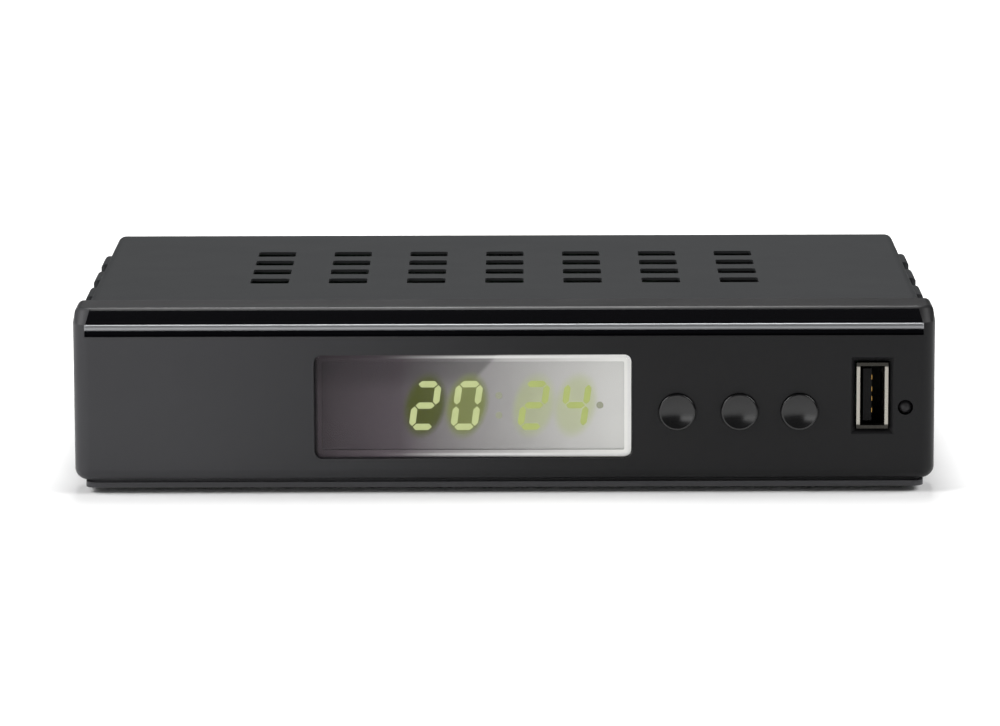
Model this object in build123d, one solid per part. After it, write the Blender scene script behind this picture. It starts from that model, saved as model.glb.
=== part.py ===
from build123d import *
import math
import os

# Satellite television receiver: a folded steel case on four feet, with a moulded front panel.
# Millimetres. +Z is up and the front faces -Y. The origin is the middle of the whole object's
# footprint, on the surface that the feet stand on. A "depth" is measured back from the front panel's
# foremost line, and a "level" is measured up from the front panel's lower edge.

# --- Front panel ---
PANEL_W = 180.0
PANEL_H = 38.0
PANEL_D = 13.5  # front to back
PANEL_CORNER_R = 3.5  # upright front corners, seen from above
PANEL_WALL = 2.0  # thickness of the face
PANEL_SIDE_WALL = 3.2
PANEL_SKIRT = 1.4  # how far the panel reaches below the chassis
BROW_H = 3.1  # glossy sloping band along the top
BROW_FRONT_SLOPE = 3.1
BROW_SIDE_SLOPE = 0.4
BROW_EDGE_R = 1.4  # along the front and the sides of the panel's top
BEAD_H = 1.3  # half-round strip under the brow
BEAD_END = 2.6  # from the panel's side to the ends of bead and groove
GROOVE_H = 1.3  # under the bead
GROOVE_SET_BACK = 1.3
FACE_SET_BACK = 0.5
FACE_CURVE_R = 2.5  # the face's lower edge curves under
SHADOW_GAP_H = 0.5
SHADOW_GAP_SET_BACK = 3.1
PLINTH_H = 1.15
PLINTH_SET_BACK = 2.2
PANEL_FLOOR_LEVEL = 4.2  # inside, in front of the chassis
PANEL_CEILING_WALL = 3.3
PANEL_POCKET = 3.2  # how far the case goes into the panel
FIT = 0.15  # around the case in the panel
CLIP_W = 9.0
CLIP_T = 1.2
CLIP_REACH = 6.5  # from the chassis's front edge to the clip's tip
CLIP_TOOTH = 1.6
CLIPS_FROM_SIDE = (32.0, 66.0)

# --- Case ---
BOX_D = 110.0  # foremost line of the panel to the back of the cover
FOOT_H = 2.6
FOOT_R = 5.5
FOOT_INSET_X = 16.0
FOOT_INSET_Y = 11.0
COVER_T = 0.6
COVER_SIDE_STEP = 1.7  # the panel stands this much proud of the cover
COVER_TOP_STEP = 1.2
COVER_BEND_R = 2.0
COVER_HEM = 0.4  # from the chassis's underside up to the cover's lower edge
COVER_LIP_H = 7.0  # rear lip
CHASSIS_T = 0.8
CHASSIS_GAP = 0.2  # between chassis and cover at the sides and top
LIP_GAP = 0.1  # between the rear wall and the cover's lip
CHASSIS_FLANGE_H = 10.0
VENT_COLUMNS = 7
VENT_ROWS = 4
VENT_PITCH_X = 16.9
VENT_PITCH_Y = 12.4
VENT_W = 8.3
VENT_L = 6.6
VENT_R = 0.7
VENT_FIRST_DEPTH = 45.5
LOUVRE_PITCH = 22.0
LOUVRE_FIRST_DEPTH = 20.5
LOUVRE_REAR_MARGIN = 12.0
LOUVRE_L = 12.0
LOUVRE_H = 5.4
LOUVRE_OUT = 1.65
LOUVRE_EDGE_R = 1.0
LOUVRE_DROP = 1.8  # from the cover's top to the louvre's upper edge
FLOOR_SLOT_COUNT = 6
FLOOR_SLOT_PITCH = 9.0
FLOOR_SLOT_W = 3.0
FLOOR_SLOT_L = 26.0
FLOOR_SLOT_DEPTHS = (36.0, 66.0)
SCREW_R = 1.4
SCREW_L = 6.0
SCREW_END_GAP = 0.4  # under the shank of a screw that points down
SCREW_PLAY = 0.05  # between a screw's shank and its hole
SCREW_HEAD_R = 2.7
SCREW_HEAD_H = 1.6
SCREW_SLOT = 0.6
COVER_SCREW_FROM_SIDE = 18.0

# --- Display window and clock ---
WINDOW_W = 66.2
WINDOW_H = 21.8
WINDOW_T = 1.6
WINDOW_R = 1.6
WINDOW_FROM_RIGHT = 96.5
WINDOW_LEVEL = 17.35
WINDOW_PROUD = 0.25
WINDOW_BEVEL = 0.5
WINDOW_LEDGE = 1.5
WINDOW_FIT = 0.1
DISPLAY_W = 46.0
DISPLAY_H = 16.0
DISPLAY_D = 7.0
DISPLAY_FROM_RIGHT = 90.0
DISPLAY_GAP = 0.4
DIGIT_H = 10.4
DIGIT_W = 5.7
DIGIT_STROKE = 1.35
DIGIT_GAP = 0.18
DIGIT_SLANT = 8.0  # degrees
DIGIT_CENTRES = (-16.5, -7.8, 6.2, 14.9)
COLON_X = -1.1
COLON_SPREAD = 4.2
DOT_X = 20.0
DOT_R = 0.75
SEGMENT_T = 0.2

# --- Buttons and their switches ---
BUTTONS_FROM_RIGHT = {"standby": 53.9, "channel_down": 40.9, "channel_up": 28.4}
BUTTON_LEVEL = 16.2
BUTTON_R = 3.85
BUTTON_RUN = 0.1  # radial clearance in the face
BUTTON_PROUD = 0.95  # how far the cap stands out of the face
BUTTON_EDGE = 0.3  # rounding of the cap's front edge
BUTTON_LAND = 0.1  # flat ring between the rounding and the dish
BUTTON_DISH = 0.75  # depth of the dish for a fingertip
BUTTON_FLANGE = 0.85  # how far the flange stands out around the cap
BUTTON_FLANGE_T = 0.8
BUTTON_PLAY = 0.05
BUTTON_TRAVEL = 0.3
STEM_R = 1.9
GUIDE_CLEARANCE = 0.3
GUIDE_T = 0.8
SWITCH_SIZE = 6.0
SWITCH_H = 3.3
SWITCH_COVER_T = 0.2
PLUNGER_R = 1.7
PLUNGER_OUT = 1.5
PLUNGER_IN = 1.0
PLUNGER_PLAY = 0.02
PLUNGER_RUN = 0.1

# --- Boards ---
BOARD_T = 1.6
STANDOFF_H = 4.5
STANDOFF_R = 2.6
BOARD_SIDE_GAP = 3.7  # to the chassis flanges' outside
BOARD_FRONT_DEPTH = 14.5
BOARD_REAR_GAP = 0.5
NOSE_DEPTH = 4.5
NOSE_BESIDE_USB = 6.5
NOSE_BESIDE_LED = 2.4
BOARD_SCREW_INSET_X = 7.0
BOARD_SCREW_INSET_Y = 6.0
BOARD_SCREW_REAR_INSET = 40.0
FRONT_BOARD_FROM_RIGHT = 19.0
FRONT_BOARD_W = 123.0
FRONT_BOARD_LEVELS = (9.6, 31.0)
FRONT_BOSS_R = 2.7
FRONT_BOSS_HOLE = 5.5
FRONT_SCREWS_FROM_RIGHT = (22.5, 60.0, 138.5)
FRONT_SCREW_LEVEL = 28.0
IR_FROM_RIGHT = 123.5
IR_SIZE = 5.6
IR_D = 2.6
IR_LENS_R = 2.0

# --- USB socket and indicator ---
USB_FROM_RIGHT = 13.2
USB_LEVEL = 19.5
USB_INNER_W = 5.12
USB_INNER_H = 12.5
USB_SHELL_T = 0.3
USB_FLARE = 0.75
USB_FLARE_D = 0.5
USB_D = 14.0
USB_RECESS = 0.1  # behind the face
USB_CUT_GAP = 0.25
USB_CUT_CHAMFER = 0.9
USB_TONGUE_T = 1.84
USB_TONGUE_GAP = 0.7  # above and below the tongue
USB_TONGUE_OFFSET = 0.65
USB_TONGUE_SET_BACK = 1.4
USB_BACK_T = 2.0
CORE_FIT = 0.01  # between a moulded core and its metal shell
USB_CONTACT_W = 1.0
USB_CONTACT_T = 0.15
USB_CONTACT_SPOTS = (-3.5, -1.0, 1.0, 3.5)
LED_FROM_RIGHT = 6.3
LED_LEVEL = 17.0
LED_R = 1.5
LED_FLANGE_R = 1.9
LED_FLANGE_T = 1.0
LED_BODY_D = 3.6
LED_FIT = 0.1
LEAD_T = 0.5
LEAD_PITCH = 1.27
LEAD_BEND = 2.0

# --- Tuner and aerial sockets ---
TUNER_W = 42.0
TUNER_L = 34.0
TUNER_H = 15.0
TUNER_T = 0.4
TUNER_WALL_GAP = 0.3
TUNER_BOARD_LIFT = 3.0
TUNER_BOARD_T = 0.8
LID_GRIP = 2.5
LID_RUN = 0.05
LID_HOLE_R = 1.5
F_PITCH = 20.0
F_AXIS_H = 7.6  # above the board
F_R = 4.7625
F_BORE_R = 3.3
F_REACH = 9.5  # behind the cover
F_FLANGE_R = 5.8
F_FLANGE_T = 1.0
F_HOLE_GAP = 0.15
F_INSULATOR_SET_BACK = 0.6
F_NECK = 0.3  # radius taken off the thread under the nut
F_CONTACT_R = 0.6
F_NUT_FLATS = 11.0
F_NUT_T = 2.0
F_NUT_RUN = 0.05
F_WASHER_R = 6.4
F_WASHER_T = 0.5

# --- Other rear sockets ---
PORT_GAP = 0.3  # around a socket in the rear wall
ETHERNET_W = 16.0
ETHERNET_H = 13.4
ETHERNET_L = 21.0
ETHERNET_SHIELD_T = 0.25
ETHERNET_OUT = 1.0  # behind the cover
ETHERNET_PORT_W = 11.9
ETHERNET_PORT_H = 6.9
ETHERNET_PORT_LIFT = 3.6
ETHERNET_PORT_L = 15.0
ETHERNET_LATCH_W = 6.2
ETHERNET_LATCH_H = 1.8
ETHERNET_CONTACTS = 8
ETHERNET_CONTACT_PITCH = 1.02
WIRE_T = 0.4
HDMI_W = 15.0
HDMI_H = 5.6
HDMI_L = 11.5
HDMI_T = 0.4
HDMI_OUT = 0.8
HDMI_NARROW = 1.2  # each side, at the bottom
HDMI_LIFT = 0.4
HDMI_TONGUE_W = 10.8
HDMI_TONGUE_T = 1.2
HDMI_TONGUE_LIFT = 0.4
HDMI_TONGUE_SET_BACK = 1.5
HDMI_CORE_L = 3.0
RCA_COLOURS = ("orange", "yellow", "white", "red")
RCA_PITCH = 14.0
RCA_AXIS_H = 7.2
RCA_R = 4.15
RCA_NECK = 0.3  # radius taken off the sleeve inside the case
RCA_INSERT_R = 3.5
RCA_HOLE_R = 1.65
RCA_INSERT_SET_BACK = 0.5
RCA_OUT = 8.4
RCA_HOUSING_L = 10.0
RCA_HOUSING_H = 12.6
RCA_HOUSING_MARGIN = 6.4
RCA_HOUSING_GAP = 0.2  # from the moulded sockets to the rear wall
RCA_WALL = 1.5  # behind the hole of an insert
DC_W = 9.0
DC_H = 11.0
DC_L = 14.0
DC_AXIS_H = 6.5
DC_HOLE_R = 3.0
DC_HOLE_D = 9.5
DC_PIN_R = 1.0
DC_PIN_SET_BACK = 1.0
DC_OUT = 0.6
DC_COLLAR_R = 4.2

# --- Main board's components: (distance from the board's middle or side, depth) of each ---
CHIP_AT = (-4.0, 56.0)
CHIP_SIZE = 23.0
CHIP_T = 1.8
PAD_T = 0.5
HEATSINK_W = 32.0
HEATSINK_BASE_T = 2.0
HEATSINK_FIN_T = 1.0
HEATSINK_FIN_H = 9.0
HEATSINK_FINS = 9
MEMORY_AT = ((24.0, 48.0), (24.0, 60.0), (-30.0, 60.0))
MEMORY_SIZE = (12.0, 9.0, 1.2)
REGULATORS_FROM_LEFT = ((34.0, 45.0), (34.0, 58.0))
REGULATOR_SIZE = (6.4, 6.0, 1.6)
INDUCTORS_FROM_LEFT = ((22.0, 45.0), (22.0, 58.0))
INDUCTOR_SIZE = 8.0
INDUCTOR_CORNER = 1.2
INDUCTOR_H = 4.4
CAPACITORS_FROM_LEFT = ((9.0, 30.0), (19.0, 30.0), (29.0, 30.0), (39.0, 30.0))
CAPACITORS_FROM_RIGHT = ((24.0, 34.0), (12.0, 34.0))
CAPACITOR_R = 4.0
CAPACITOR_H = 12.0
CAPACITOR_CRIMP = 0.35
CAPACITOR_CRIMP_LIFT = 1.6
CRYSTAL_AT = (-30.0, 48.0)
CRYSTAL_SIZE = (11.0, 4.7, 3.6)
CHIP_CAP_SIZE = (2.0, 1.25, 0.9)
CHIP_CAP_COUNT = 8
CHIP_CAP_PITCH = 4.0
CHIP_CAP_DEPTHS = (37.0, 40.5, 70.0)
CHIP_CAP_FIRST_X = -20.0

# --- Ribbon cable between the boards ---
RIBBON_FROM_RIGHT = 110.0
RIBBON_W = 12.7
RIBBON_T = 0.9
RIBBON_BEND_R = 6.0
RIBBON_LEVEL = 25.0
RIBBON_HEADER_DEPTH = 30.0
RIBBON_PLUG_W = 16.0
RIBBON_PLUG_T = 5.0
RIBBON_PLUG_D = 5.0

# --- Places worked out from the sizes above ---
RIGHT = PANEL_W / 2
FRONT_Y = BUTTON_PROUD - FACE_SET_BACK - (BOX_D + F_REACH + BUTTON_PROUD - FACE_SET_BACK) / 2
PANEL_Z = FOOT_H - PANEL_SKIRT
COVER_X = RIGHT - COVER_SIDE_STEP
COVER_Z = PANEL_Z + PANEL_H - COVER_TOP_STEP
CHASSIS_X = COVER_X - COVER_T - CHASSIS_GAP
FLOOR_Z = FOOT_H + CHASSIS_T
CASE_DEPTH = PANEL_D - PANEL_POCKET  # front edges of cover and chassis
WALL_DEPTH = BOX_D - COVER_T - LIP_GAP  # outside of the chassis's rear wall
INNER_DEPTH = WALL_DEPTH - CHASSIS_T
BOARD_Z = FLOOR_Z + STANDOFF_H
BOARD_TOP = BOARD_Z + BOARD_T
BOARD_HALF_W = CHASSIS_X - BOARD_SIDE_GAP
BOARD_REAR = INNER_DEPTH - BOARD_REAR_GAP
FACE_BACK = FACE_SET_BACK + PANEL_WALL
WINDOW_BACK = FACE_SET_BACK - WINDOW_PROUD + WINDOW_T
DISPLAY_FRONT = WINDOW_BACK + DISPLAY_GAP
FRONT_BOARD_DEPTH = DISPLAY_FRONT + DISPLAY_D
WINDOW_X = RIGHT - WINDOW_FROM_RIGHT
WINDOW_Z = PANEL_Z + WINDOW_LEVEL
DISPLAY_X = RIGHT - DISPLAY_FROM_RIGHT
IR_X = RIGHT - IR_FROM_RIGHT
RIBBON_X = RIGHT - RIBBON_FROM_RIGHT
CLIP_PLACES = [side * (RIGHT - inset) for side in (-1, 1) for inset in CLIPS_FROM_SIDE]
COVER_SCREW_X = COVER_X - COVER_SCREW_FROM_SIDE
COVER_SCREW_Z = COVER_Z - COVER_LIP_H / 2
COVER_SCREW_PLACES = (-COVER_SCREW_X, 0.0, COVER_SCREW_X)
FRONT_SCREW_Z = PANEL_Z + FRONT_SCREW_LEVEL
FRONT_SCREW_PLACES = [RIGHT - distance for distance in FRONT_SCREWS_FROM_RIGHT]
BUTTON_PLACES = {name: RIGHT - distance for name, distance in BUTTONS_FROM_RIGHT.items()}
BUTTON_FLANGE_R = BUTTON_R + BUTTON_FLANGE
SWITCH_FRONT = FRONT_BOARD_DEPTH - SWITCH_H
PLUNGER_FRONT = SWITCH_FRONT - PLUNGER_OUT
BUTTON_Z = PANEL_Z + BUTTON_LEVEL
USB_X = RIGHT - USB_FROM_RIGHT
USB_Z = PANEL_Z + USB_LEVEL
USB_FRONT = FACE_SET_BACK + USB_RECESS
USB_OUT_W = USB_INNER_W + 2 * USB_SHELL_T
USB_OUT_H = USB_INNER_H + 2 * USB_SHELL_T
LED_X = RIGHT - LED_FROM_RIGHT
LED_Z = PANEL_Z + LED_LEVEL
TUNER_REAR = INNER_DEPTH - TUNER_WALL_GAP
TUNER_FRONT = TUNER_REAR - TUNER_L
F_Z = BOARD_TOP + F_AXIS_H
RCA_Z = BOARD_TOP + RCA_AXIS_H
RCA_W = (len(RCA_COLOURS) - 1) * RCA_PITCH + 2 * RCA_HOUSING_MARGIN
RCA_REAR = INNER_DEPTH - RCA_HOUSING_GAP
DC_Z = BOARD_TOP + DC_AXIS_H
DC_REAR = INNER_DEPTH - RCA_HOUSING_GAP
PORT_WIDTHS = (DC_W, RCA_W, HDMI_W, ETHERNET_W, TUNER_W)  # from left to right, seen from the front
PORT_SPACE = (2 * BOARD_HALF_W - sum(PORT_WIDTHS)) / (len(PORT_WIDTHS) + 1)
PORT_MIDDLES = [
    index * PORT_SPACE + PORT_SPACE + sum(PORT_WIDTHS[:index]) + width / 2 - BOARD_HALF_W
    for index, width in enumerate(PORT_WIDTHS)
]
DC_X, RCA_MIDDLE, HDMI_X, ETHERNET_X, TUNER_X = PORT_MIDDLES
RCA_FIRST_X = RCA_MIDDLE - RCA_W / 2 + RCA_HOUSING_MARGIN
RCA_PLACES = {colour: RCA_FIRST_X + index * RCA_PITCH for index, colour in enumerate(RCA_COLOURS)}
F_PLACES = {"lnb_in": TUNER_X + F_PITCH / 2, "loop_out": TUNER_X - F_PITCH / 2}


# --- Shared shapes ---
def at(depth):
    """Y of a depth behind the panel's foremost line."""
    return FRONT_Y + depth


def around(middle, size):
    """(low, high) of a span from its middle and its size."""
    return middle - size / 2, middle + size / 2


def block(x, depth, z):
    """Box from three (low, high) pairs, the second in depths."""
    low = Pos(x[0], at(depth[0]), z[0])
    return low * Box(x[1] - x[0], depth[1] - depth[0], z[1] - z[0], align=(Align.MIN,) * 3)


def rod(x, z, radius, depth):
    """Cylinder from front to back."""
    shape = Cylinder(radius, depth[1] - depth[0], align=(Align.CENTER, Align.CENTER, Align.MIN))
    return Pos(x, at(depth[0]), z) * Rot(-90, 0, 0) * shape


def post(x, depth, radius, z):
    """Upright cylinder."""
    shape = Cylinder(radius, z[1] - z[0], align=(Align.CENTER, Align.CENTER, Align.MIN))
    return Pos(x, at(depth), z[0]) * shape


def slab(sketch, x, z, depth):
    """A sketch drawn in X and Z about (x, z), given thickness from front to back."""
    return Pos(x, at(depth[1]), z) * Rot(90, 0, 0) * extrude(sketch, depth[1] - depth[0])


def pillow(x, z, width, height, radius, depth):
    """Box from front to back with four rounded corners."""
    return slab(RectangleRounded(width, height, radius), x, z, depth)


def joined(pieces):
    """One solid out of pieces that touch or overlap."""
    total = pieces[0]
    for piece in pieces[1:]:
        total += piece
    return total


def group(pieces):
    """Separate solids that share a node."""
    return Compound(children=[solid for piece in pieces for solid in piece.solids()])


def round_screw(x, z, head_depth, length):
    """Screw that points forward: slotted round head behind head_depth, shank in front of it."""
    head = rod(x, z, SCREW_HEAD_R, (head_depth, head_depth + SCREW_HEAD_H))
    head = fillet(head.edges().sort_by(Axis.Y)[-1], SCREW_HEAD_H / 2)
    shank = rod(x, z, SCREW_R, (head_depth - length, head_depth))
    tip = head_depth + SCREW_HEAD_H
    slot = block(around(x, 2 * SCREW_HEAD_R), (tip - SCREW_SLOT, tip), around(z, SCREW_SLOT))
    return head + shank - slot


# --- Front panel ---
def panel_outline(front, side, corner):
    """The panel from above, set back at the front and the sides, with rounded front corners."""
    half = RIGHT - side
    flat = Pos(0, at(front)) * Rectangle(2 * half, PANEL_D - front, align=(Align.CENTER, Align.MIN))
    return fillet(flat.vertices().sort_by(Axis.Y)[:2], corner)


def front_edges(solid, level):
    """The edges of a panel layer at a level, without the one along its back."""
    height = PANEL_Z + level
    flat = [e for e in solid.edges() if abs(e.center().Z - height) < 1e-4]
    return [e for e in flat if e.center().Y < at(PANEL_D) - 1e-3]


def panel_layer(low, high, front, side):
    """Flat layer of the panel between two levels, set back at the front and the sides."""
    outline = panel_outline(front, side, PANEL_CORNER_R - side / 2)
    return extrude(Pos(0, 0, PANEL_Z + low) * outline, high - low)


def panel_shell():
    """The outer shape: plinth, shadow gap, face with its groove, bead and brow."""
    brow_low = PANEL_H - BROW_H
    bead_low = brow_low - BEAD_H
    groove_low = bead_low - GROOVE_H
    face_low = PLINTH_H + SHADOW_GAP_H
    plinth = panel_layer(0, PLINTH_H, PLINTH_SET_BACK, PLINTH_SET_BACK)
    gap = panel_layer(PLINTH_H, face_low, SHADOW_GAP_SET_BACK, SHADOW_GAP_SET_BACK)
    face = panel_layer(face_low, brow_low, FACE_SET_BACK, 0)
    face = fillet(front_edges(face, face_low), FACE_CURVE_R)
    span = (BEAD_END - RIGHT, RIGHT - BEAD_END)
    face -= block(span, (0, GROOVE_SET_BACK), (PANEL_Z + groove_low, PANEL_Z + bead_low))
    strip = block(span, (0, GROOVE_SET_BACK), (PANEL_Z + bead_low, PANEL_Z + brow_low))
    bead = fillet(strip.faces().sort_by(Axis.Y)[0].edges().filter_by(Axis.X), BEAD_H / 2 - 0.05)
    bead = fillet(bead.edges().filter_by(Axis.Z).sort_by(Axis.Y)[:2], BEAD_H / 4)
    low_line = panel_outline(FACE_SET_BACK, 0, PANEL_CORNER_R)
    high_line = panel_outline(BROW_FRONT_SLOPE, BROW_SIDE_SLOPE, PANEL_CORNER_R)
    ends = [Pos(0, 0, PANEL_Z + brow_low) * low_line, Pos(0, 0, PANEL_Z + PANEL_H) * high_line]
    brow = loft(ends, ruled=True)
    brow = fillet(front_edges(brow, PANEL_H), BROW_EDGE_R)
    return joined([plinth, gap, face, bead, brow])


def case_outline(grow):
    """Cover and chassis seen from the front, grown all round."""
    width = 2 * (COVER_X + grow)
    height = COVER_Z - FOOT_H + 2 * grow
    outline = Pos(0, height / 2) * Rectangle(width, height)
    return fillet(outline.vertices().sort_by(Axis.Y)[-2:], COVER_BEND_R + grow)


def panel_clips():
    """Arms above the chassis floor, each with a tooth that drops into a slot of the floor."""
    clips = []
    tip = CASE_DEPTH + CLIP_REACH
    low = FLOOR_Z + FIT
    for x in CLIP_PLACES:
        arm = block(around(x, CLIP_W), (FACE_BACK, tip), (low, low + CLIP_T))
        tooth = block(around(x, CLIP_W), (tip - CLIP_TOOTH, tip), (FOOT_H, low + CLIP_T))
        clips.append(arm + tooth)
    return clips


def front_panel():
    """ABS moulding that carries the window, the buttons and the front board."""
    inner_w = PANEL_W - 2 * PANEL_SIDE_WALL
    ceiling = PANEL_Z + PANEL_H - PANEL_CEILING_WALL
    floor = PANEL_Z + PANEL_FLOOR_LEVEL
    room = block(around(0, inner_w), (FACE_BACK, PANEL_D), (floor, ceiling))
    pocket = slab(case_outline(FIT), 0, FOOT_H - FIT, (CASE_DEPTH - FIT, PANEL_D))
    recess = pillow(
        WINDOW_X,
        WINDOW_Z,
        WINDOW_W + 2 * WINDOW_FIT,
        WINDOW_H + 2 * WINDOW_FIT,
        WINDOW_R + WINDOW_FIT,
        (0, WINDOW_BACK),
    )
    sight_w = WINDOW_W - 2 * WINDOW_LEDGE
    sight_h = WINDOW_H - 2 * WINDOW_LEDGE
    sight = block(around(WINDOW_X, sight_w), (0, FACE_BACK), around(WINDOW_Z, sight_h))
    led_hole = rod(LED_X, LED_Z, LED_R + LED_FIT, (0, FACE_BACK))
    usb_hole = usb_opening()
    panel = panel_shell() - room - pocket - recess - sight - led_hole - usb_hole
    for x in BUTTON_PLACES.values():
        outer = BUTTON_FLANGE_R + GUIDE_CLEARANCE + GUIDE_T
        guide = rod(x, BUTTON_Z, outer, (FACE_BACK, PLUNGER_FRONT))
        guide -= rod(x, BUTTON_Z, outer - GUIDE_T, (FACE_BACK, PLUNGER_FRONT))
        panel += guide
        panel -= rod(x, BUTTON_Z, BUTTON_R + BUTTON_RUN, (0, FACE_BACK))
    for x in FRONT_SCREW_PLACES:
        panel += rod(x, FRONT_SCREW_Z, FRONT_BOSS_R, (FACE_BACK, FRONT_BOARD_DEPTH))
        hole = (FRONT_BOARD_DEPTH - FRONT_BOSS_HOLE, FRONT_BOARD_DEPTH)
        panel -= rod(x, FRONT_SCREW_Z, SCREW_R + SCREW_PLAY, hole)
    return joined([panel] + panel_clips())


def usb_opening():
    """Hole for the USB socket, with a chamfered rim at the front."""
    width = USB_INNER_W + 2 * (USB_FLARE + USB_CUT_GAP)
    height = USB_INNER_H + 2 * (USB_FLARE + USB_CUT_GAP)
    hole = block(around(USB_X, width), (0, FACE_BACK), around(USB_Z, height))
    wide = Rectangle(width + 2 * USB_CUT_CHAMFER, height + 2 * USB_CUT_CHAMFER)
    rim = extrude(wide, USB_CUT_CHAMFER, taper=45)
    return hole + Pos(USB_X, at(FACE_SET_BACK), USB_Z) * Rot(-90, 0, 0) * rim


def display_window():
    """Acrylic pane with a bevelled front edge."""
    depths = (WINDOW_BACK - WINDOW_T, WINDOW_BACK)
    pane = pillow(WINDOW_X, WINDOW_Z, WINDOW_W, WINDOW_H, WINDOW_R, depths)
    return chamfer(pane.faces().sort_by(Axis.Y)[0].edges(), WINDOW_BEVEL)


# --- Buttons and switches ---
def button_cap(x):
    """Cap dished for a fingertip, with a flange behind the face and a stem that ends at the switch."""
    front = FACE_SET_BACK - BUTTON_PROUD
    body = rod(x, BUTTON_Z, BUTTON_R, (front, FACE_BACK + BUTTON_PLAY))
    body = fillet(body.edges().sort_by(Axis.Y)[0], BUTTON_EDGE)
    dish_r = BUTTON_R - BUTTON_EDGE - BUTTON_LAND
    ball_r = (dish_r**2 + BUTTON_DISH**2) / (2 * BUTTON_DISH)
    body -= Pos(x, at(front + BUTTON_DISH - ball_r), BUTTON_Z) * Sphere(ball_r)
    flange_front = FACE_BACK + BUTTON_PLAY
    flange = rod(x, BUTTON_Z, BUTTON_FLANGE_R, (flange_front, flange_front + BUTTON_FLANGE_T))
    stem = rod(x, BUTTON_Z, STEM_R, (flange_front, PLUNGER_FRONT - PLUNGER_PLAY))
    return joined([body, flange, stem])


def switch_plunger(x):
    """Round actuator of a switch."""
    return rod(x, BUTTON_Z, PLUNGER_R, (PLUNGER_FRONT, SWITCH_FRONT + PLUNGER_IN))


def switch_body(x):
    """Square moulded body with a well for the plunger."""
    depths = (SWITCH_FRONT + SWITCH_COVER_T, FRONT_BOARD_DEPTH)
    body = block(around(x, SWITCH_SIZE), depths, around(BUTTON_Z, SWITCH_SIZE))
    well = (SWITCH_FRONT, SWITCH_FRONT + PLUNGER_IN + BUTTON_TRAVEL + PLUNGER_RUN)
    return body - rod(x, BUTTON_Z, PLUNGER_R + PLUNGER_RUN, well)


def switch_cover(x):
    """Steel plate on the front of a switch."""
    depths = (SWITCH_FRONT, SWITCH_FRONT + SWITCH_COVER_T)
    plate = block(around(x, SWITCH_SIZE), depths, around(BUTTON_Z, SWITCH_SIZE))
    return plate - rod(x, BUTTON_Z, PLUNGER_R + PLUNGER_RUN, depths)


# --- Case ---
def vent_holes():
    """Rows of holes through the cover's top."""
    hole = extrude(RectangleRounded(VENT_W, VENT_L, VENT_R), 2 * COVER_T)
    holes = []
    for row in range(VENT_ROWS):
        y = at(VENT_FIRST_DEPTH + row * VENT_PITCH_Y)
        for column in range(VENT_COLUMNS):
            x = (column - (VENT_COLUMNS - 1) / 2) * VENT_PITCH_X
            holes.append(Pos(x, y, COVER_Z - 1.5 * COVER_T) * hole)
    return holes


def louvre_depths():
    """As many louvres as fit in front of the rear margin."""
    room = BOX_D - LOUVRE_REAR_MARGIN - LOUVRE_L / 2 - LOUVRE_FIRST_DEPTH
    return [LOUVRE_FIRST_DEPTH + index * LOUVRE_PITCH for index in range(int(room // LOUVRE_PITCH) + 1)]


def louvre(side, depth, grow):
    """A pressed hood on one side of the cover. grow is 0 outside, and the sheet's thickness inside."""
    out = COVER_X + LOUVRE_OUT - grow
    wall = COVER_X - COVER_T
    x = (wall, out) if side > 0 else (-out, -wall)
    top = COVER_Z - LOUVRE_DROP - grow
    low = COVER_Z - LOUVRE_DROP - LOUVRE_H
    hood = block(x, around(depth, LOUVRE_L - 2 * grow), (low, top))
    outer = hood.faces().sort_by(Axis.X)[-1 if side > 0 else 0]
    soft = [e for e in outer.edges() if e.center().Z > low + 0.01]
    return fillet(soft, LOUVRE_EDGE_R - grow / 2)


def top_cover():
    """Folded lid: top, two sides and a rear lip, with vents and side louvres."""
    low = FOOT_H + COVER_HEM
    shell = slab(case_outline(0), 0, FOOT_H, (CASE_DEPTH, BOX_D))
    room = slab(case_outline(-COVER_T), 0, FOOT_H + COVER_T, (CASE_DEPTH, BOX_D - COVER_T))
    under = block((-PANEL_W, PANEL_W), (0, 2 * BOX_D), (-PANEL_H, low))
    rear_gap_x = COVER_X - COVER_T
    rear_gap = (low - COVER_HEM, COVER_Z - COVER_LIP_H)
    rear = block((-rear_gap_x, rear_gap_x), (BOX_D - 2 * COVER_T, BOX_D + 1), rear_gap)
    floor = block((-rear_gap_x, rear_gap_x), (CASE_DEPTH, BOX_D), (0, FOOT_H + 2 * COVER_T))
    cover = shell - room - under - rear - floor
    for side in (-1, 1):
        for depth in louvre_depths():
            cover += louvre(side, depth, 0)
            cover -= louvre(side, depth, COVER_T)
    for hole in vent_holes():
        cover -= hole
    for x in COVER_SCREW_PLACES:
        cover -= rod(x, COVER_SCREW_Z, SCREW_R + SCREW_PLAY, (BOX_D - 2 * COVER_T, BOX_D))
    return cover


def rear_openings():
    """The holes in the rear wall, each sized from what passes through it."""
    through = (INNER_DEPTH, WALL_DEPTH)
    holes = [rod(x, F_Z, F_R + F_HOLE_GAP, through) for x in F_PLACES.values()]
    holes += [rod(x, RCA_Z, RCA_R + PORT_GAP, through) for x in RCA_PLACES.values()]
    holes.append(rod(DC_X, DC_Z, DC_COLLAR_R + PORT_GAP, through))
    net = around(ETHERNET_X, ETHERNET_W + 2 * PORT_GAP)
    holes.append(block(net, through, (BOARD_TOP - PORT_GAP, BOARD_TOP + ETHERNET_H + PORT_GAP)))
    video = around(HDMI_X, HDMI_W + 2 * PORT_GAP)
    low = BOARD_TOP + HDMI_LIFT - PORT_GAP
    holes.append(block(video, through, (low, low + HDMI_H + 2 * PORT_GAP)))
    holes += [rod(x, COVER_SCREW_Z, SCREW_R + SCREW_PLAY, through) for x in COVER_SCREW_PLACES]
    return holes


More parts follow.
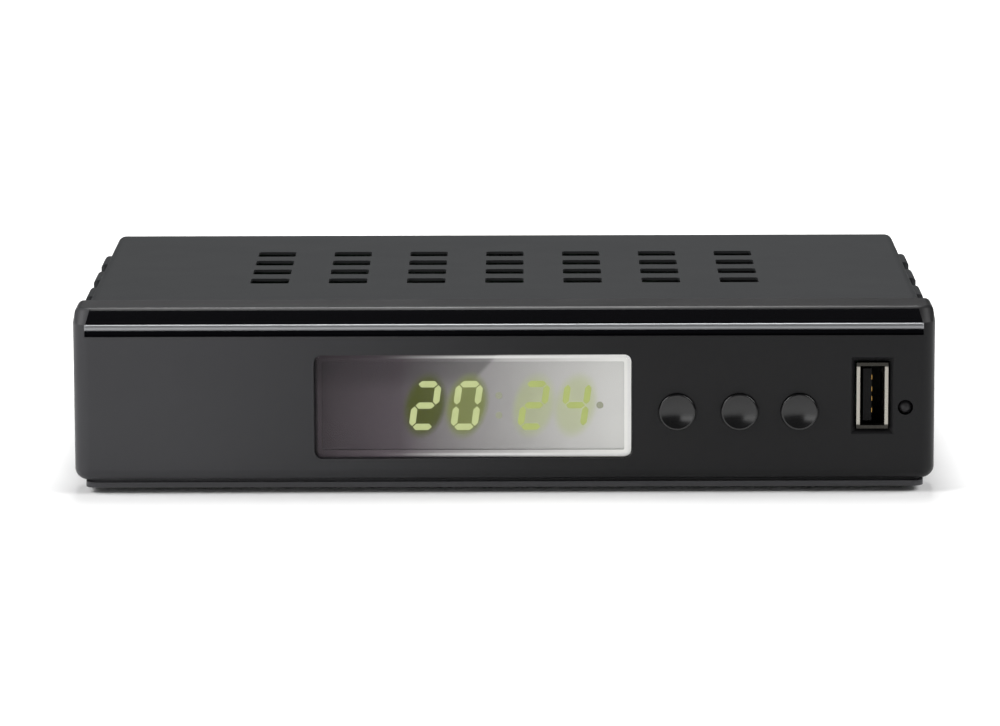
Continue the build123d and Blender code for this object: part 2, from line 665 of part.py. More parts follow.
def chassis():
    """Folded tray: floor, side flanges and rear wall."""
    floor = block((-CHASSIS_X, CHASSIS_X), (CASE_DEPTH, WALL_DEPTH), (FOOT_H, FLOOR_Z))
    wall_top = COVER_Z - COVER_T - CHASSIS_GAP
    wall_half = CHASSIS_X - COVER_BEND_R
    wall = block((-CHASSIS_X, CHASSIS_X), (INNER_DEPTH, WALL_DEPTH), (FOOT_H, wall_top - COVER_BEND_R))
    wall += block((-wall_half, wall_half), (INNER_DEPTH, WALL_DEPTH), (FOOT_H, wall_top))
    tray = floor + wall
    for low, high in ((-CHASSIS_X, CHASSIS_T - CHASSIS_X), (CHASSIS_X - CHASSIS_T, CHASSIS_X)):
        tray += block((low, high), (CASE_DEPTH, WALL_DEPTH), (FOOT_H, FOOT_H + CHASSIS_FLANGE_H))
    for hole in rear_openings():
        tray -= hole
    tip = CASE_DEPTH + CLIP_REACH
    for x in CLIP_PLACES:
        slot = (tip - CLIP_TOOTH - FIT, tip + FIT)
        tray -= block(around(x, CLIP_W + 2 * FIT), slot, (FOOT_H, FLOOR_Z))
    vent = Pos(0, 0, FOOT_H) * extrude(SlotOverall(FLOOR_SLOT_L, FLOOR_SLOT_W, rotation=90), CHASSIS_T)
    for depth in FLOOR_SLOT_DEPTHS:
        for index in range(FLOOR_SLOT_COUNT):
            x = (index - (FLOOR_SLOT_COUNT - 1) / 2) * FLOOR_SLOT_PITCH
            tray -= Pos(x, at(depth), 0) * vent
    return tray


def corners(inset_x, front, back):
    """Four (x, depth) places, the same on both sides."""
    return [(side * (CHASSIS_X - inset_x), depth) for side in (-1, 1) for depth in (front, back)]


def rubber_feet():
    """Round feet with a soft lower edge."""
    feet = []
    for x, depth in corners(FOOT_INSET_X, CASE_DEPTH + FOOT_INSET_Y, BOX_D - FOOT_INSET_Y):
        foot = post(x, depth, FOOT_R, (0, FOOT_H))
        feet.append(fillet(foot.edges().sort_by(Axis.Z)[0], FOOT_H / 4))
    return group(feet)


def cover_screws():
    """Screws through the cover's lip and the rear wall."""
    return group([round_screw(x, COVER_SCREW_Z, BOX_D, SCREW_L) for x in COVER_SCREW_PLACES])


# --- Boards ---
def board_corners():
    """Where the main board is screwed down."""
    inset = CHASSIS_X - BOARD_HALF_W + BOARD_SCREW_INSET_X
    return corners(inset, BOARD_FRONT_DEPTH + BOARD_SCREW_INSET_Y, BOARD_REAR - BOARD_SCREW_REAR_INSET)


def main_board():
    """Main circuit board with a nose that reaches under the USB socket and the indicator."""
    board = block((-BOARD_HALF_W, BOARD_HALF_W), (BOARD_FRONT_DEPTH, BOARD_REAR), (BOARD_Z, BOARD_TOP))
    nose = (USB_X - NOSE_BESIDE_USB, LED_X + NOSE_BESIDE_LED)
    board += block(nose, (NOSE_DEPTH, BOARD_FRONT_DEPTH), (BOARD_Z, BOARD_TOP))
    for x, depth in board_corners():
        board -= post(x, depth, SCREW_R + SCREW_PLAY, (BOARD_Z, BOARD_TOP))
    return board


def board_standoffs():
    """Hexagonal posts pressed into the floor."""
    posts = []
    for x, depth in board_corners():
        prism = extrude(RegularPolygon(STANDOFF_R, 6), STANDOFF_H)
        stud = Pos(x, at(depth), FLOOR_Z) * prism
        posts.append(stud - post(x, depth, SCREW_R + SCREW_PLAY, (FLOOR_Z, BOARD_Z)))
    return group(posts)


def board_screws():
    """Screws down through the main board into the standoffs."""
    screws = []
    for x, depth in board_corners():
        head = post(x, depth, SCREW_HEAD_R, (BOARD_TOP, BOARD_TOP + SCREW_HEAD_H))
        head = fillet(head.edges().sort_by(Axis.Z)[-1], SCREW_HEAD_H / 2)
        shank = post(x, depth, SCREW_R, (BOARD_TOP - SCREW_L + SCREW_END_GAP, BOARD_TOP))
        top = BOARD_TOP + SCREW_HEAD_H
        slot = block(around(x, 2 * SCREW_HEAD_R), around(depth, SCREW_SLOT), (top - SCREW_SLOT, top))
        screws.append(head + shank - slot)
    return group(screws)


def front_board():
    """Upright board behind the face."""
    levels = (PANEL_Z + FRONT_BOARD_LEVELS[0], PANEL_Z + FRONT_BOARD_LEVELS[1])
    right = RIGHT - FRONT_BOARD_FROM_RIGHT
    board = block((right - FRONT_BOARD_W, right), (FRONT_BOARD_DEPTH, FRONT_BOARD_DEPTH + BOARD_T), levels)
    for x in FRONT_SCREW_PLACES:
        hole = (FRONT_BOARD_DEPTH, FRONT_BOARD_DEPTH + BOARD_T)
        board -= rod(x, FRONT_SCREW_Z, SCREW_R + SCREW_PLAY, hole)
    return board


def front_board_screws():
    """Screws that hold the front board to the panel's bosses."""
    head = FRONT_BOARD_DEPTH + BOARD_T
    return group([round_screw(x, FRONT_SCREW_Z, head, SCREW_L) for x in FRONT_SCREW_PLACES])


# --- Clock display ---
def pointed_bar(reach, half):
    """Corners of a bar that is pointed at both ends and lies along its first axis."""
    flat = reach - half
    return [(-reach, 0), (-flat, half), (flat, half), (reach, 0), (flat, -half), (-flat, -half)]


def segment_outlines():
    """Seven pointed bars of one digit about its middle, before it is slanted."""
    bar = DIGIT_STROKE / 2
    across = DIGIT_W / 2 - bar
    up = DIGIT_H / 2 - bar
    flat = across - DIGIT_GAP
    tall = up / 2 - DIGIT_GAP
    lying = pointed_bar(flat, bar)
    standing = [(x, z) for z, x in pointed_bar(tall, bar)]
    outlines = [[(x, z + level) for x, z in lying] for level in (-up, 0, up)]
    for side in (-across, across):
        for level in (-up / 2, up / 2):
            outlines.append([(x + side, z + level) for x, z in standing])
    return outlines


def slanted(points, middle):
    """Points of a digit leaned to the right and moved to its middle."""
    lean = math.tan(math.radians(DIGIT_SLANT))
    return [(middle + x + z * lean, z) for x, z in points]


def light_windows():
    """All segments, the colon and the single dot, on the display's front."""
    depths = (DISPLAY_FRONT, DISPLAY_FRONT + SEGMENT_T)
    lights = []
    for middle in DIGIT_CENTRES:
        for outline in segment_outlines():
            sketch = make_face(Polyline(*slanted(outline, middle), close=True))
            lights.append(slab(sketch, DISPLAY_X, WINDOW_Z, depths))
    for level in (-COLON_SPREAD / 2, COLON_SPREAD / 2):
        lights.append(rod(DISPLAY_X + COLON_X, WINDOW_Z + level, DOT_R, depths))
    lights.append(rod(DISPLAY_X + DOT_X, WINDOW_Z, DOT_R, depths))
    return lights


def display_module():
    """Display body with a shallow pocket for each light window."""
    depths = (DISPLAY_FRONT, DISPLAY_FRONT + DISPLAY_D)
    body = block(around(DISPLAY_X, DISPLAY_W), depths, around(WINDOW_Z, DISPLAY_H))
    return body - light_windows()


def ir_receiver():
    """Remote control sensor with a round lens."""
    face = FRONT_BOARD_DEPTH - IR_D
    body = block(around(IR_X, IR_SIZE), (face, FRONT_BOARD_DEPTH), around(WINDOW_Z, IR_SIZE))
    lens = Pos(IR_X, at(face), WINDOW_Z) * Sphere(IR_LENS_R)
    return body + (lens & rod(IR_X, WINDOW_Z, IR_LENS_R, (face - IR_LENS_R, face)))


# --- USB socket and indicator ---
def usb_shell():
    """Folded metal shell with a flared mouth."""
    depths = (USB_FRONT, USB_FRONT + USB_D)
    shell = block(around(USB_X, USB_OUT_W), depths, around(USB_Z, USB_OUT_H))
    wide = Rectangle(USB_INNER_W + 2 * USB_FLARE, USB_INNER_H + 2 * USB_FLARE)
    mouth = extrude(wide, USB_FLARE_D)
    shell += Pos(USB_X, at(USB_FRONT), USB_Z) * Rot(-90, 0, 0) * mouth
    return shell - block(around(USB_X, USB_INNER_W), depths, around(USB_Z, USB_INNER_H))


def tongue_span():
    """X span of the USB tongue, which lies off centre."""
    low = USB_X - USB_INNER_W / 2 + USB_TONGUE_OFFSET
    return low, low + USB_TONGUE_T


def usb_insulator():
    """Moulded block at the back of the shell, its tongue, and the foot that stands on the board."""
    back = USB_FRONT + USB_D
    across = around(USB_X, USB_INNER_W - 2 * CORE_FIT)
    rear = block(across, (back - USB_BACK_T, back), around(USB_Z, USB_INNER_H - 2 * CORE_FIT))
    tongue_depths = (USB_FRONT + USB_TONGUE_SET_BACK, back)
    tongue = block(tongue_span(), tongue_depths, around(USB_Z, USB_INNER_H - 2 * USB_TONGUE_GAP))
    foot = block(around(USB_X, USB_OUT_W), (back, back + USB_BACK_T), (BOARD_TOP, USB_Z + USB_OUT_H / 2))
    heel = (BOARD_TOP, USB_Z - USB_OUT_H / 2)
    heel_block = block(around(USB_X, USB_OUT_W), (back - 2 * USB_BACK_T, back + USB_BACK_T), heel)
    return joined([rear, tongue, foot, heel_block])


def usb_contacts():
    """Four flat contacts on the tongue."""
    low = tongue_span()[1]
    span = (low, low + USB_CONTACT_T)
    depths = (USB_FRONT + USB_TONGUE_SET_BACK + 1, USB_FRONT + USB_D - USB_BACK_T)
    return group([block(span, depths, around(USB_Z + z, USB_CONTACT_W)) for z in USB_CONTACT_SPOTS])


def indicator_led():
    """Round lamp in its hole in the face, with a flange behind it."""
    back = FACE_BACK + LED_BODY_D
    dome = FACE_SET_BACK + LED_R
    body = rod(LED_X, LED_Z, LED_R, (dome, back))
    body += Pos(LED_X, at(dome), LED_Z) * Sphere(LED_R)
    return body + rod(LED_X, LED_Z, LED_FLANGE_R, (back - LED_FLANGE_T, back))


def indicator_leads():
    """Two bent leads from the lamp down to the board's nose."""
    back = FACE_BACK + LED_BODY_D
    leads = []
    bend = back + LEAD_BEND
    for side in (-LEAD_PITCH / 2, LEAD_PITCH / 2):
        x = around(LED_X + side, LEAD_T)
        lead = block(x, (back, bend), around(LED_Z, LEAD_T))
        lead += block(x, (bend - LEAD_T, bend), (BOARD_TOP, LED_Z + LEAD_T / 2))
        leads.append(lead)
    return group(leads)


# --- Tuner and aerial sockets ---
def tuner_spans():
    """X, depth and Z spans of the tuner's can."""
    return around(TUNER_X, TUNER_W), (TUNER_FRONT, TUNER_REAR), (BOARD_TOP, BOARD_TOP + TUNER_H)


def shrunk(span, amount):
    """A span made smaller at both ends."""
    return span[0] + amount, span[1] - amount


def tuner_frame():
    """Tinned steel walls around the tuner's board."""
    x, depth, z = tuner_spans()
    frame = block(x, depth, z) - block(shrunk(x, TUNER_T), shrunk(depth, TUNER_T), z)
    for place in F_PLACES.values():
        frame -= rod(place, F_Z, F_R - F_NECK, (TUNER_REAR - 2 * TUNER_T, TUNER_REAR))
    return frame


def tuner_lid():
    """Lid that grips the frame from outside."""
    x, depth, z = tuner_spans()
    lid_x = shrunk(x, -TUNER_T - LID_RUN)
    lid_depth = (depth[0] - TUNER_T - LID_RUN, depth[1])
    outer = block(lid_x, lid_depth, (z[1] - LID_GRIP, z[1] + TUNER_T))
    inner = block(shrunk(x, -LID_RUN), (depth[0] - LID_RUN, depth[1] + 1), (z[1] - LID_GRIP, z[1]))
    lid = outer - inner
    for row in (-1, 1):
        for column in (-1, 0, 1):
            spot = (TUNER_FRONT + TUNER_REAR) / 2 + row * TUNER_L / 4
            lid -= post(TUNER_X + column * TUNER_W / 4, spot, LID_HOLE_R, (z[1], z[1] + TUNER_T))
    return lid


def tuner_board():
    """Small board inside the can."""
    x, depth, z = tuner_spans()
    low = z[0] + TUNER_BOARD_LIFT
    rear = TUNER_REAR - TUNER_T - F_FLANGE_T - LID_RUN
    return block(shrunk(x, TUNER_T), (depth[0] + TUNER_T, rear), (low, low + TUNER_BOARD_T))


def f_connector(x):
    """Threaded aerial socket: flange against the can's wall and a barrel through the rear wall."""
    depths = (TUNER_REAR - TUNER_T - F_FLANGE_T, BOX_D + F_REACH)
    shoulder = WALL_DEPTH + F_WASHER_T + F_NUT_T
    barrel = rod(x, F_Z, F_R, (shoulder, depths[1]))
    barrel += rod(x, F_Z, F_R - F_NECK, (depths[0], shoulder))
    barrel += rod(x, F_Z, F_FLANGE_R, (depths[0], depths[0] + F_FLANGE_T))
    return barrel - rod(x, F_Z, F_BORE_R, depths)


def f_insulators():
    """Plastic cores of the aerial sockets."""
    cores = []
    for x in F_PLACES.values():
        depths = (TUNER_REAR - TUNER_T - F_FLANGE_T, BOX_D + F_REACH - F_INSULATOR_SET_BACK)
        cores.append(rod(x, F_Z, F_BORE_R, depths) - rod(x, F_Z, F_CONTACT_R, depths))
    return group(cores)


def f_contacts():
    """Sprung centre contacts, which stay behind the mouth of the core."""
    depths = (TUNER_REAR - TUNER_T - 3 * F_FLANGE_T, BOX_D + F_REACH / 2)
    return group([rod(x, F_Z, F_CONTACT_R, depths) for x in F_PLACES.values()])


def f_washers():
    """Washers between the rear wall and the nuts."""
    depths = (WALL_DEPTH, WALL_DEPTH + F_WASHER_T)
    ring = [rod(x, F_Z, F_WASHER_R, depths) for x in F_PLACES.values()]
    holes = [rod(x, F_Z, F_R + F_NUT_RUN, depths) for x in F_PLACES.values()]
    return group([disc - hole for disc, hole in zip(ring, holes)])


def f_nuts():
    """Hexagonal nuts that pull the sockets against the rear wall."""
    low = WALL_DEPTH + F_WASHER_T
    nuts = []
    for x in F_PLACES.values():
        hexagon = RegularPolygon(F_NUT_FLATS / 2, 6, major_radius=False)
        nut = slab(hexagon, x, F_Z, (low, low + F_NUT_T))
        nuts.append(nut - rod(x, F_Z, F_R + F_NUT_RUN, (low, low + F_NUT_T)))
    return group(nuts)


# --- Other rear sockets ---
def ethernet_port(grow):
    """Mouth of the network socket: the plug's room and the latch's notch above it."""
    rear = BOX_D + ETHERNET_OUT
    depths = (rear - ETHERNET_PORT_L, rear)
    low = BOARD_TOP + ETHERNET_PORT_LIFT - grow
    high = low + ETHERNET_PORT_H + 2 * grow
    port = block(around(ETHERNET_X, ETHERNET_PORT_W + 2 * grow), depths, (low, high))
    notch = (low - ETHERNET_LATCH_H, high)
    return port + block(around(ETHERNET_X, ETHERNET_LATCH_W + 2 * grow), depths, notch)


def ethernet_housing():
    """Moulded body of the network socket."""
    skin = ETHERNET_SHIELD_T
    rear = BOX_D + ETHERNET_OUT - skin
    x = around(ETHERNET_X, ETHERNET_W - 2 * skin)
    body = block(x, (rear - ETHERNET_L + 2 * skin, rear), (BOARD_TOP, BOARD_TOP + ETHERNET_H - skin))
    return body - ethernet_port(0)


def ethernet_shield():
    """Thin folded screen over the body, open below."""
    skin = ETHERNET_SHIELD_T
    rear = BOX_D + ETHERNET_OUT
    depths = (rear - ETHERNET_L, rear)
    outer = block(around(ETHERNET_X, ETHERNET_W), depths, (BOARD_TOP, BOARD_TOP + ETHERNET_H))
    x = around(ETHERNET_X, ETHERNET_W - 2 * skin)
    inner = block(x, shrunk(depths, skin), (BOARD_TOP, BOARD_TOP + ETHERNET_H - skin))
    return outer - inner - ethernet_port(skin)


def ethernet_contacts():
    """Contact wires along the ceiling of the port."""
    rear = BOX_D + ETHERNET_OUT
    ceiling = BOARD_TOP + ETHERNET_PORT_LIFT + ETHERNET_PORT_H
    depths = (rear - ETHERNET_PORT_L, rear - ETHERNET_PORT_L / 3)
    wires = []
    for index in range(ETHERNET_CONTACTS):
        x = ETHERNET_X + (index - (ETHERNET_CONTACTS - 1) / 2) * ETHERNET_CONTACT_PITCH
        wires.append(block(around(x, WIRE_T), depths, (ceiling - WIRE_T, ceiling)))
    return group(wires)


def hdmi_outline(shrink):
    """The video socket's mouth: a box with its lower corners drawn in."""
    half = HDMI_W / 2 - shrink
    low = -HDMI_H / 2 + shrink
    high = HDMI_H / 2 - shrink
    foot = half - HDMI_NARROW
    points = [(-half, high), (half, high), (half, 0), (foot, low), (-foot, low), (-half, 0)]
    return make_face(Polyline(*points, close=True))


def hdmi_shell():
    """Folded metal shell of the video socket."""
    z = BOARD_TOP + HDMI_LIFT + HDMI_H / 2
    depths = (BOX_D + HDMI_OUT - HDMI_L, BOX_D + HDMI_OUT)
    shell = slab(hdmi_outline(0), HDMI_X, z, depths)
    return shell - slab(hdmi_outline(HDMI_T), HDMI_X, z, (depths[0] + HDMI_T, depths[1]))


def hdmi_tongue():
    """Moulded core of the video socket, with its tongue."""
    z = BOARD_TOP + HDMI_LIFT + HDMI_H / 2
    front = BOX_D + HDMI_OUT - HDMI_L + HDMI_T
    core = slab(hdmi_outline(HDMI_T + CORE_FIT), HDMI_X, z, (front, front + HDMI_CORE_L))
    tongue = (front, BOX_D + HDMI_OUT - HDMI_TONGUE_SET_BACK)
    return core + block(around(HDMI_X, HDMI_TONGUE_W), tongue, around(z + HDMI_TONGUE_LIFT, HDMI_TONGUE_T))


def rca_housing():
    """Moulded block that carries the four round sockets."""
    depths = (RCA_REAR - RCA_HOUSING_L, RCA_REAR)
    body = block(around(RCA_MIDDLE, RCA_W), depths, (BOARD_TOP, BOARD_TOP + RCA_HOUSING_H))
    for place in RCA_PLACES.values():
        body -= rod(place, RCA_Z, RCA_R - RCA_NECK, depths)
    return body


def rca_depths():
    """Depths of a round socket, from the block's front to its mouth."""
    return RCA_REAR - RCA_HOUSING_L, BOX_D + RCA_OUT


def rca_shells():
    """Plated sleeves of the round sockets."""
    low, high = rca_depths()
    shoulder = WALL_DEPTH + LIP_GAP
    sleeves = []
    for x in RCA_PLACES.values():
        sleeve = rod(x, RCA_Z, RCA_R, (shoulder, high)) + rod(x, RCA_Z, RCA_R - RCA_NECK, (low, shoulder))
        sleeves.append(sleeve - rod(x, RCA_Z, RCA_INSERT_R, (low, high)))
    return group(sleeves)


def rca_insert(x):
    """Coloured core of one round socket."""
    low, high = rca_depths()
    core = rod(x, RCA_Z, RCA_INSERT_R, (low, high - RCA_INSERT_SET_BACK))
    return core - rod(x, RCA_Z, RCA_HOLE_R, (low + RCA_WALL, high))


def dc_jack_housing():
    """Moulded power inlet."""
    rear = BOX_D + DC_OUT
    body = block(around(DC_X, DC_W), (DC_REAR - DC_L, DC_REAR), (BOARD_TOP, BOARD_TOP + DC_H))
    body += rod(DC_X, DC_Z, DC_COLLAR_R, (DC_REAR - DC_L / 2, rear))
    return body - rod(DC_X, DC_Z, DC_HOLE_R, (rear - DC_HOLE_D, rear))


def dc_jack_pin():
    """Centre pin of the power inlet."""
    rear = BOX_D + DC_OUT
    return rod(DC_X, DC_Z, DC_PIN_R, (rear - DC_HOLE_D, rear - DC_PIN_SET_BACK))


# --- Components of the main board ---
def from_left(spots):
    """(X, depth) of spots measured from the main board's left edge."""
    return [(inset - BOARD_HALF_W, depth) for inset, depth in spots]


def from_right(spots):
    """(X, depth) of spots measured from the main board's right edge."""
    return [(BOARD_HALF_W - inset, depth) for inset, depth in spots]


def component(place, size):
    """Flat block on the main board."""
    x, depth = place
    return block(around(x, size[0]), around(depth, size[1]), (BOARD_TOP, BOARD_TOP + size[2]))


def main_chip():
    """Processor."""
    return component(CHIP_AT, (CHIP_SIZE, CHIP_SIZE, CHIP_T))


def thermal_pad():
    """Soft pad between the processor and the heatsink."""
    low = BOARD_TOP + CHIP_T
    return block(around(CHIP_AT[0], CHIP_SIZE), around(CHIP_AT[1], CHIP_SIZE), (low, low + PAD_T))


def heatsink():
    """Extruded aluminium with upright fins that run from front to back."""
    low = BOARD_TOP + CHIP_T + PAD_T
    x, depth = CHIP_AT
    across = around(x, HEATSINK_W)
    along = around(depth, HEATSINK_W)
    sink = block(across, along, (low, low + HEATSINK_BASE_T))
    pitch = (HEATSINK_W - HEATSINK_FIN_T) / (HEATSINK_FINS - 1)
    for index in range(HEATSINK_FINS):
        left = across[0] + index * pitch
        sink += block((left, left + HEATSINK_FIN_T), along, (low, low + HEATSINK_BASE_T + HEATSINK_FIN_H))
    return sink


def memory_chips():
    """Memory and flash."""
    return group([component(place, MEMORY_SIZE) for place in MEMORY_AT])


def regulator_chips():
    """Voltage regulators."""
    return group([component(place, REGULATOR_SIZE) for place in from_left(REGULATORS_FROM_LEFT)])


def power_inductors():
    """Shielded coils of the voltage regulators."""
    coils = []
    for place in from_left(INDUCTORS_FROM_LEFT):
        coil = component(place, (INDUCTOR_SIZE, INDUCTOR_SIZE, INDUCTOR_H))
        coils.append(chamfer(coil.edges().filter_by(Axis.Z), INDUCTOR_CORNER))
    return group(coils)


def electrolytic_capacitors():
    """Upright cans with a crimped ring near the board."""
    cans = []
    for x, depth in from_left(CAPACITORS_FROM_LEFT) + from_right(CAPACITORS_FROM_RIGHT):
        can = post(x, depth, CAPACITOR_R, (BOARD_TOP, BOARD_TOP + CAPACITOR_H))
        can = fillet(can.edges().sort_by(Axis.Z)[-1], CAPACITOR_CRIMP)
        ring = Torus(CAPACITOR_R + CAPACITOR_CRIMP / 2, CAPACITOR_CRIMP)
        cans.append(can - Pos(x, at(depth), BOARD_TOP + CAPACITOR_CRIMP_LIFT) * ring)
    return group(cans)


def crystal_can():
    """Clock crystal."""
    can = component(CRYSTAL_AT, CRYSTAL_SIZE)
    return fillet(can.edges().filter_by(Axis.Z), CRYSTAL_SIZE[1] / 2 - 0.05)


def chip_capacitors():
    """Rows of small ceramic capacitors."""
    chips = []
    for depth in CHIP_CAP_DEPTHS:
        for index in range(CHIP_CAP_COUNT):
            chips.append(component((CHIP_CAP_FIRST_X + index * CHIP_CAP_PITCH, depth), CHIP_CAP_SIZE))
    return group(chips)


# --- Ribbon cable ---
def ribbon_cable():
    """Flat cable: straight back from the front board, one bend, and down into the main board's plug."""
    z = PANEL_Z + RIBBON_LEVEL
    start = FRONT_BOARD_DEPTH + BOARD_T + RIBBON_PLUG_D
    end = BOARD_TOP + RIBBON_PLUG_D
    places = ((start, z), (RIBBON_HEADER_DEPTH, z), (RIBBON_HEADER_DEPTH, end))
    points = [(RIBBON_X, at(depth), level) for depth, level in places]
    path = FilletPolyline(*points, radius=RIBBON_BEND_R)
    section = Plane(origin=points[0], x_dir=(1, 0, 0), z_dir=(0, 1, 0)) * Rectangle(RIBBON_W, RIBBON_T)
    return sweep(section, path=path)


def ribbon_connectors():
    """The plug on the front board and the plug on the main board."""
    z = PANEL_Z + RIBBON_LEVEL
    back = FRONT_BOARD_DEPTH + BOARD_T
    upper = block(around(RIBBON_X, RIBBON_PLUG_W), (back, back + RIBBON_PLUG_D), around(z, RIBBON_PLUG_T))
    x = around(RIBBON_X, RIBBON_PLUG_W)
    lower = block(x, around(RIBBON_HEADER_DEPTH, RIBBON_PLUG_T), (BOARD_TOP, BOARD_TOP + RIBBON_PLUG_D))
    return group([upper, lower])


def all_nodes():
    """Every node's name and shape."""
    nodes = {
        "front_panel": front_panel(),
        "display_window": display_window(),
        "top_cover": top_cover(),
        "chassis": chassis(),
        "rubber_feet": rubber_feet(),
        "cover_screws": cover_screws(),
        "main_board": main_board(),
        "board_standoffs": board_standoffs(),
        "board_screws": board_screws(),
        "front_board": front_board(),
        "front_board_screws": front_board_screws(),
        "display_module": display_module(),
        "display_segments": group(light_windows()),
        "switch_bodies": group([switch_body(x) for x in BUTTON_PLACES.values()]),
        "switch_covers": group([switch_cover(x) for x in BUTTON_PLACES.values()]),
        "ir_receiver": ir_receiver(),
        "indicator_led": indicator_led(),
        "indicator_leads": indicator_leads(),
        "usb_shell": usb_shell(),
        "usb_insulator": usb_insulator(),
        "usb_contacts": usb_contacts(),
        "ribbon_cable": ribbon_cable(),
        "ribbon_connectors": ribbon_connectors(),
        "tuner_frame": tuner_frame(),
        "tuner_lid": tuner_lid(),
        "tuner_board": tuner_board(),
        "f_insulators": f_insulators(),
        "f_contacts": f_contacts(),
        "f_nuts": f_nuts(),
        "f_washers": f_washers(),
        "ethernet_housing": ethernet_housing(),
        "ethernet_shield": ethernet_shield(),
        "ethernet_contacts": ethernet_contacts(),
        "hdmi_shell": hdmi_shell(),
        "hdmi_tongue": hdmi_tongue(),
        "rca_housing": rca_housing(),
        "rca_shells": rca_shells(),
        "dc_jack_housing": dc_jack_housing(),
        "dc_jack_pin": dc_jack_pin(),
        "main_chip": main_chip(),
        "thermal_pad": thermal_pad(),
        "heatsink": heatsink(),
        "memory_chips": memory_chips(),
        "regulator_chips": regulator_chips(),
        "power_inductors": power_inductors(),
        "electrolytic_capacitors": electrolytic_capacitors(),
        "crystal_can": crystal_can(),
        "chip_capacitors": chip_capacitors(),
    }
    for name, x in BUTTON_PLACES.items():
        nodes[f"{name}_button"] = button_cap(x)
        nodes[f"{name}_plunger"] = switch_plunger(x)
    for name, x in F_PLACES.items():
        nodes[f"{name}_connector"] = f_connector(x)
    for colour, x in RCA_PLACES.items():
        nodes[f"rca_insert_{colour}"] = rca_insert(x)
    return nodes


os.makedirs("parts", exist_ok=True)
for node, shape in all_nodes().items():
    export_step(shape, f"parts/{node}.step")
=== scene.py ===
import math

import bmesh
import bpy
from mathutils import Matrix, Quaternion, Vector


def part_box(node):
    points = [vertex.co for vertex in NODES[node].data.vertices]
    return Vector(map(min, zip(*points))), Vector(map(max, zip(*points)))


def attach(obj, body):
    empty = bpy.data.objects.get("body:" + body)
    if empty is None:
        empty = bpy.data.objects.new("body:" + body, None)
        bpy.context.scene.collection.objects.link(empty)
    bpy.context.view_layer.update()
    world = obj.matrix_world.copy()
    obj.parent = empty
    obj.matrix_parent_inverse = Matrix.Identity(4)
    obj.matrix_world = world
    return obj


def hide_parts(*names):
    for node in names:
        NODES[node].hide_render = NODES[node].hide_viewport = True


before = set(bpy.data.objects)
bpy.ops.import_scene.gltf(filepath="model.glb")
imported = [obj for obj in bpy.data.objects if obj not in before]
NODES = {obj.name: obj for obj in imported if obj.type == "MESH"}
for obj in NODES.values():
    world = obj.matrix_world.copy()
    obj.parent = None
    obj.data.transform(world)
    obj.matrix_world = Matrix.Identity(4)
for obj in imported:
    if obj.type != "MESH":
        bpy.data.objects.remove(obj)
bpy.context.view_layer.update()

# Finishes of a satellite television receiver, laid out as an add-on. The sizes in the sidebar are
# lengths in metres. The code that builds meshes works in millimetres, in the frame's own axes: +Z is
# up, the front faces -Y, and "depth" is measured back from the panel's foremost line.

bl_info = {
    "name": "Satellite receiver finishes",
    "version": (1, 0, 0),
    "blender": (4, 5, 0),
    "location": "3D View > Sidebar > Receiver",
    "description": "Surfaces, lit clock and fine details of a satellite television receiver",
    "category": "Object",
}

MM = 0.001
ROOT = "receiver"
SEAM = 0.002  # corners nearer to each other than this are one


# --- Numbers and places ---
def linear(hex_colour):
    """Linear RGBA of an sRGB hex colour."""
    parts = [int(hex_colour[place:place + 2], 16) / 255 for place in (1, 3, 5)]
    return [p / 12.92 if p <= 0.04045 else ((p + 0.055) / 1.055) ** 2.4 for p in parts] + [1.0]


def span(node):
    """Lowest and highest corner of a node, in millimetres."""
    low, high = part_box(node)
    return low / MM, high / MM


def solids(node):
    """(lowest corner, highest corner) of each separate solid of a node, from left to right."""
    work = bmesh.new()
    work.from_mesh(NODES[node].data)
    bmesh.ops.remove_doubles(work, verts=work.verts, dist=SEAM * MM)
    left = set(work.verts)
    boxes = []
    while left:
        wave = [left.pop()]
        found = list(wave)
        while wave:
            near = {edge.other_vert(vert) for vert in wave for edge in vert.link_edges} & left
            left -= near
            wave = list(near)
            found += wave
        spots = [vert.co / MM for vert in found]
        low = Vector([min(spot[k] for spot in spots) for k in range(3)])
        high = Vector([max(spot[k] for spot in spots) for k in range(3)])
        boxes.append((low, high))
    work.free()
    return sorted(boxes, key=lambda box: (round(box[0].x, 2), round(box[0].y, 2), round(box[0].z, 2)))


PANEL_LOW, PANEL_HIGH = span("front_panel")
WINDOW_LOW, WINDOW_HIGH = span("display_window")
BROW_LEVEL = PANEL_HIGH.z - 3.1  # lower edge of the gloss band
BROW_TOP = PANEL_HIGH.z - 0.13  # the band ends on the rounded edge above it
BROW_HALF = PANEL_HIGH.x - 2.8  # half the band's length at its lower edge
BROW_END_SLANT = 0.28  # the band is shorter towards its upper edge
BEAD_LEVEL = BROW_LEVEL - 1.3  # the bead ends here, and the groove begins
BEAD_HALF = PANEL_HIGH.x - 2.6  # half the length of the bead and of the groove
BEAD_DEPTH = 1.3  # the bead's paint ends at this depth
GROOVE_LEVEL = BEAD_LEVEL - 1.3  # lower edge of the groove
# The groove is painted black as shade, beginning between these depths.
GROOVE_DEPTHS = (0.6, 0.7)  # the groove turns black between these depths
PLINTH_LEVEL = PANEL_LOW.z + 1.2  # the plinth strip ends here
# The face is painted lighter at its left end and darker at its right: painted light and shade for the lamps
# on the left, changing between these places.
FACE_TONE_RUN = (-80.0, 35.0)  # the face's tone changes between these places across it
SIGHT_LEDGE = 1.5  # the pane rests on this much of the face all round
FILM_GAP = 0.1  # the films are this much smaller than the pane and the opening behind it
# The film's tones are a painted reflection: dark at the left, bright at the right, with a darker step past a
# slanted edge.
FILM_KNEE = 0.267  # share of the window's width at which the film begins to get lighter
FILM_STEP_START = 27.7  # the film's slanted edge meets the pane's top this far from its right end
FILM_STEP_SLOPE = -0.913  # and goes this far along X for each millimetre down
PATTERN_RANGE = (0.3, 0.7)  # nearly all of a soft random pattern lies between these


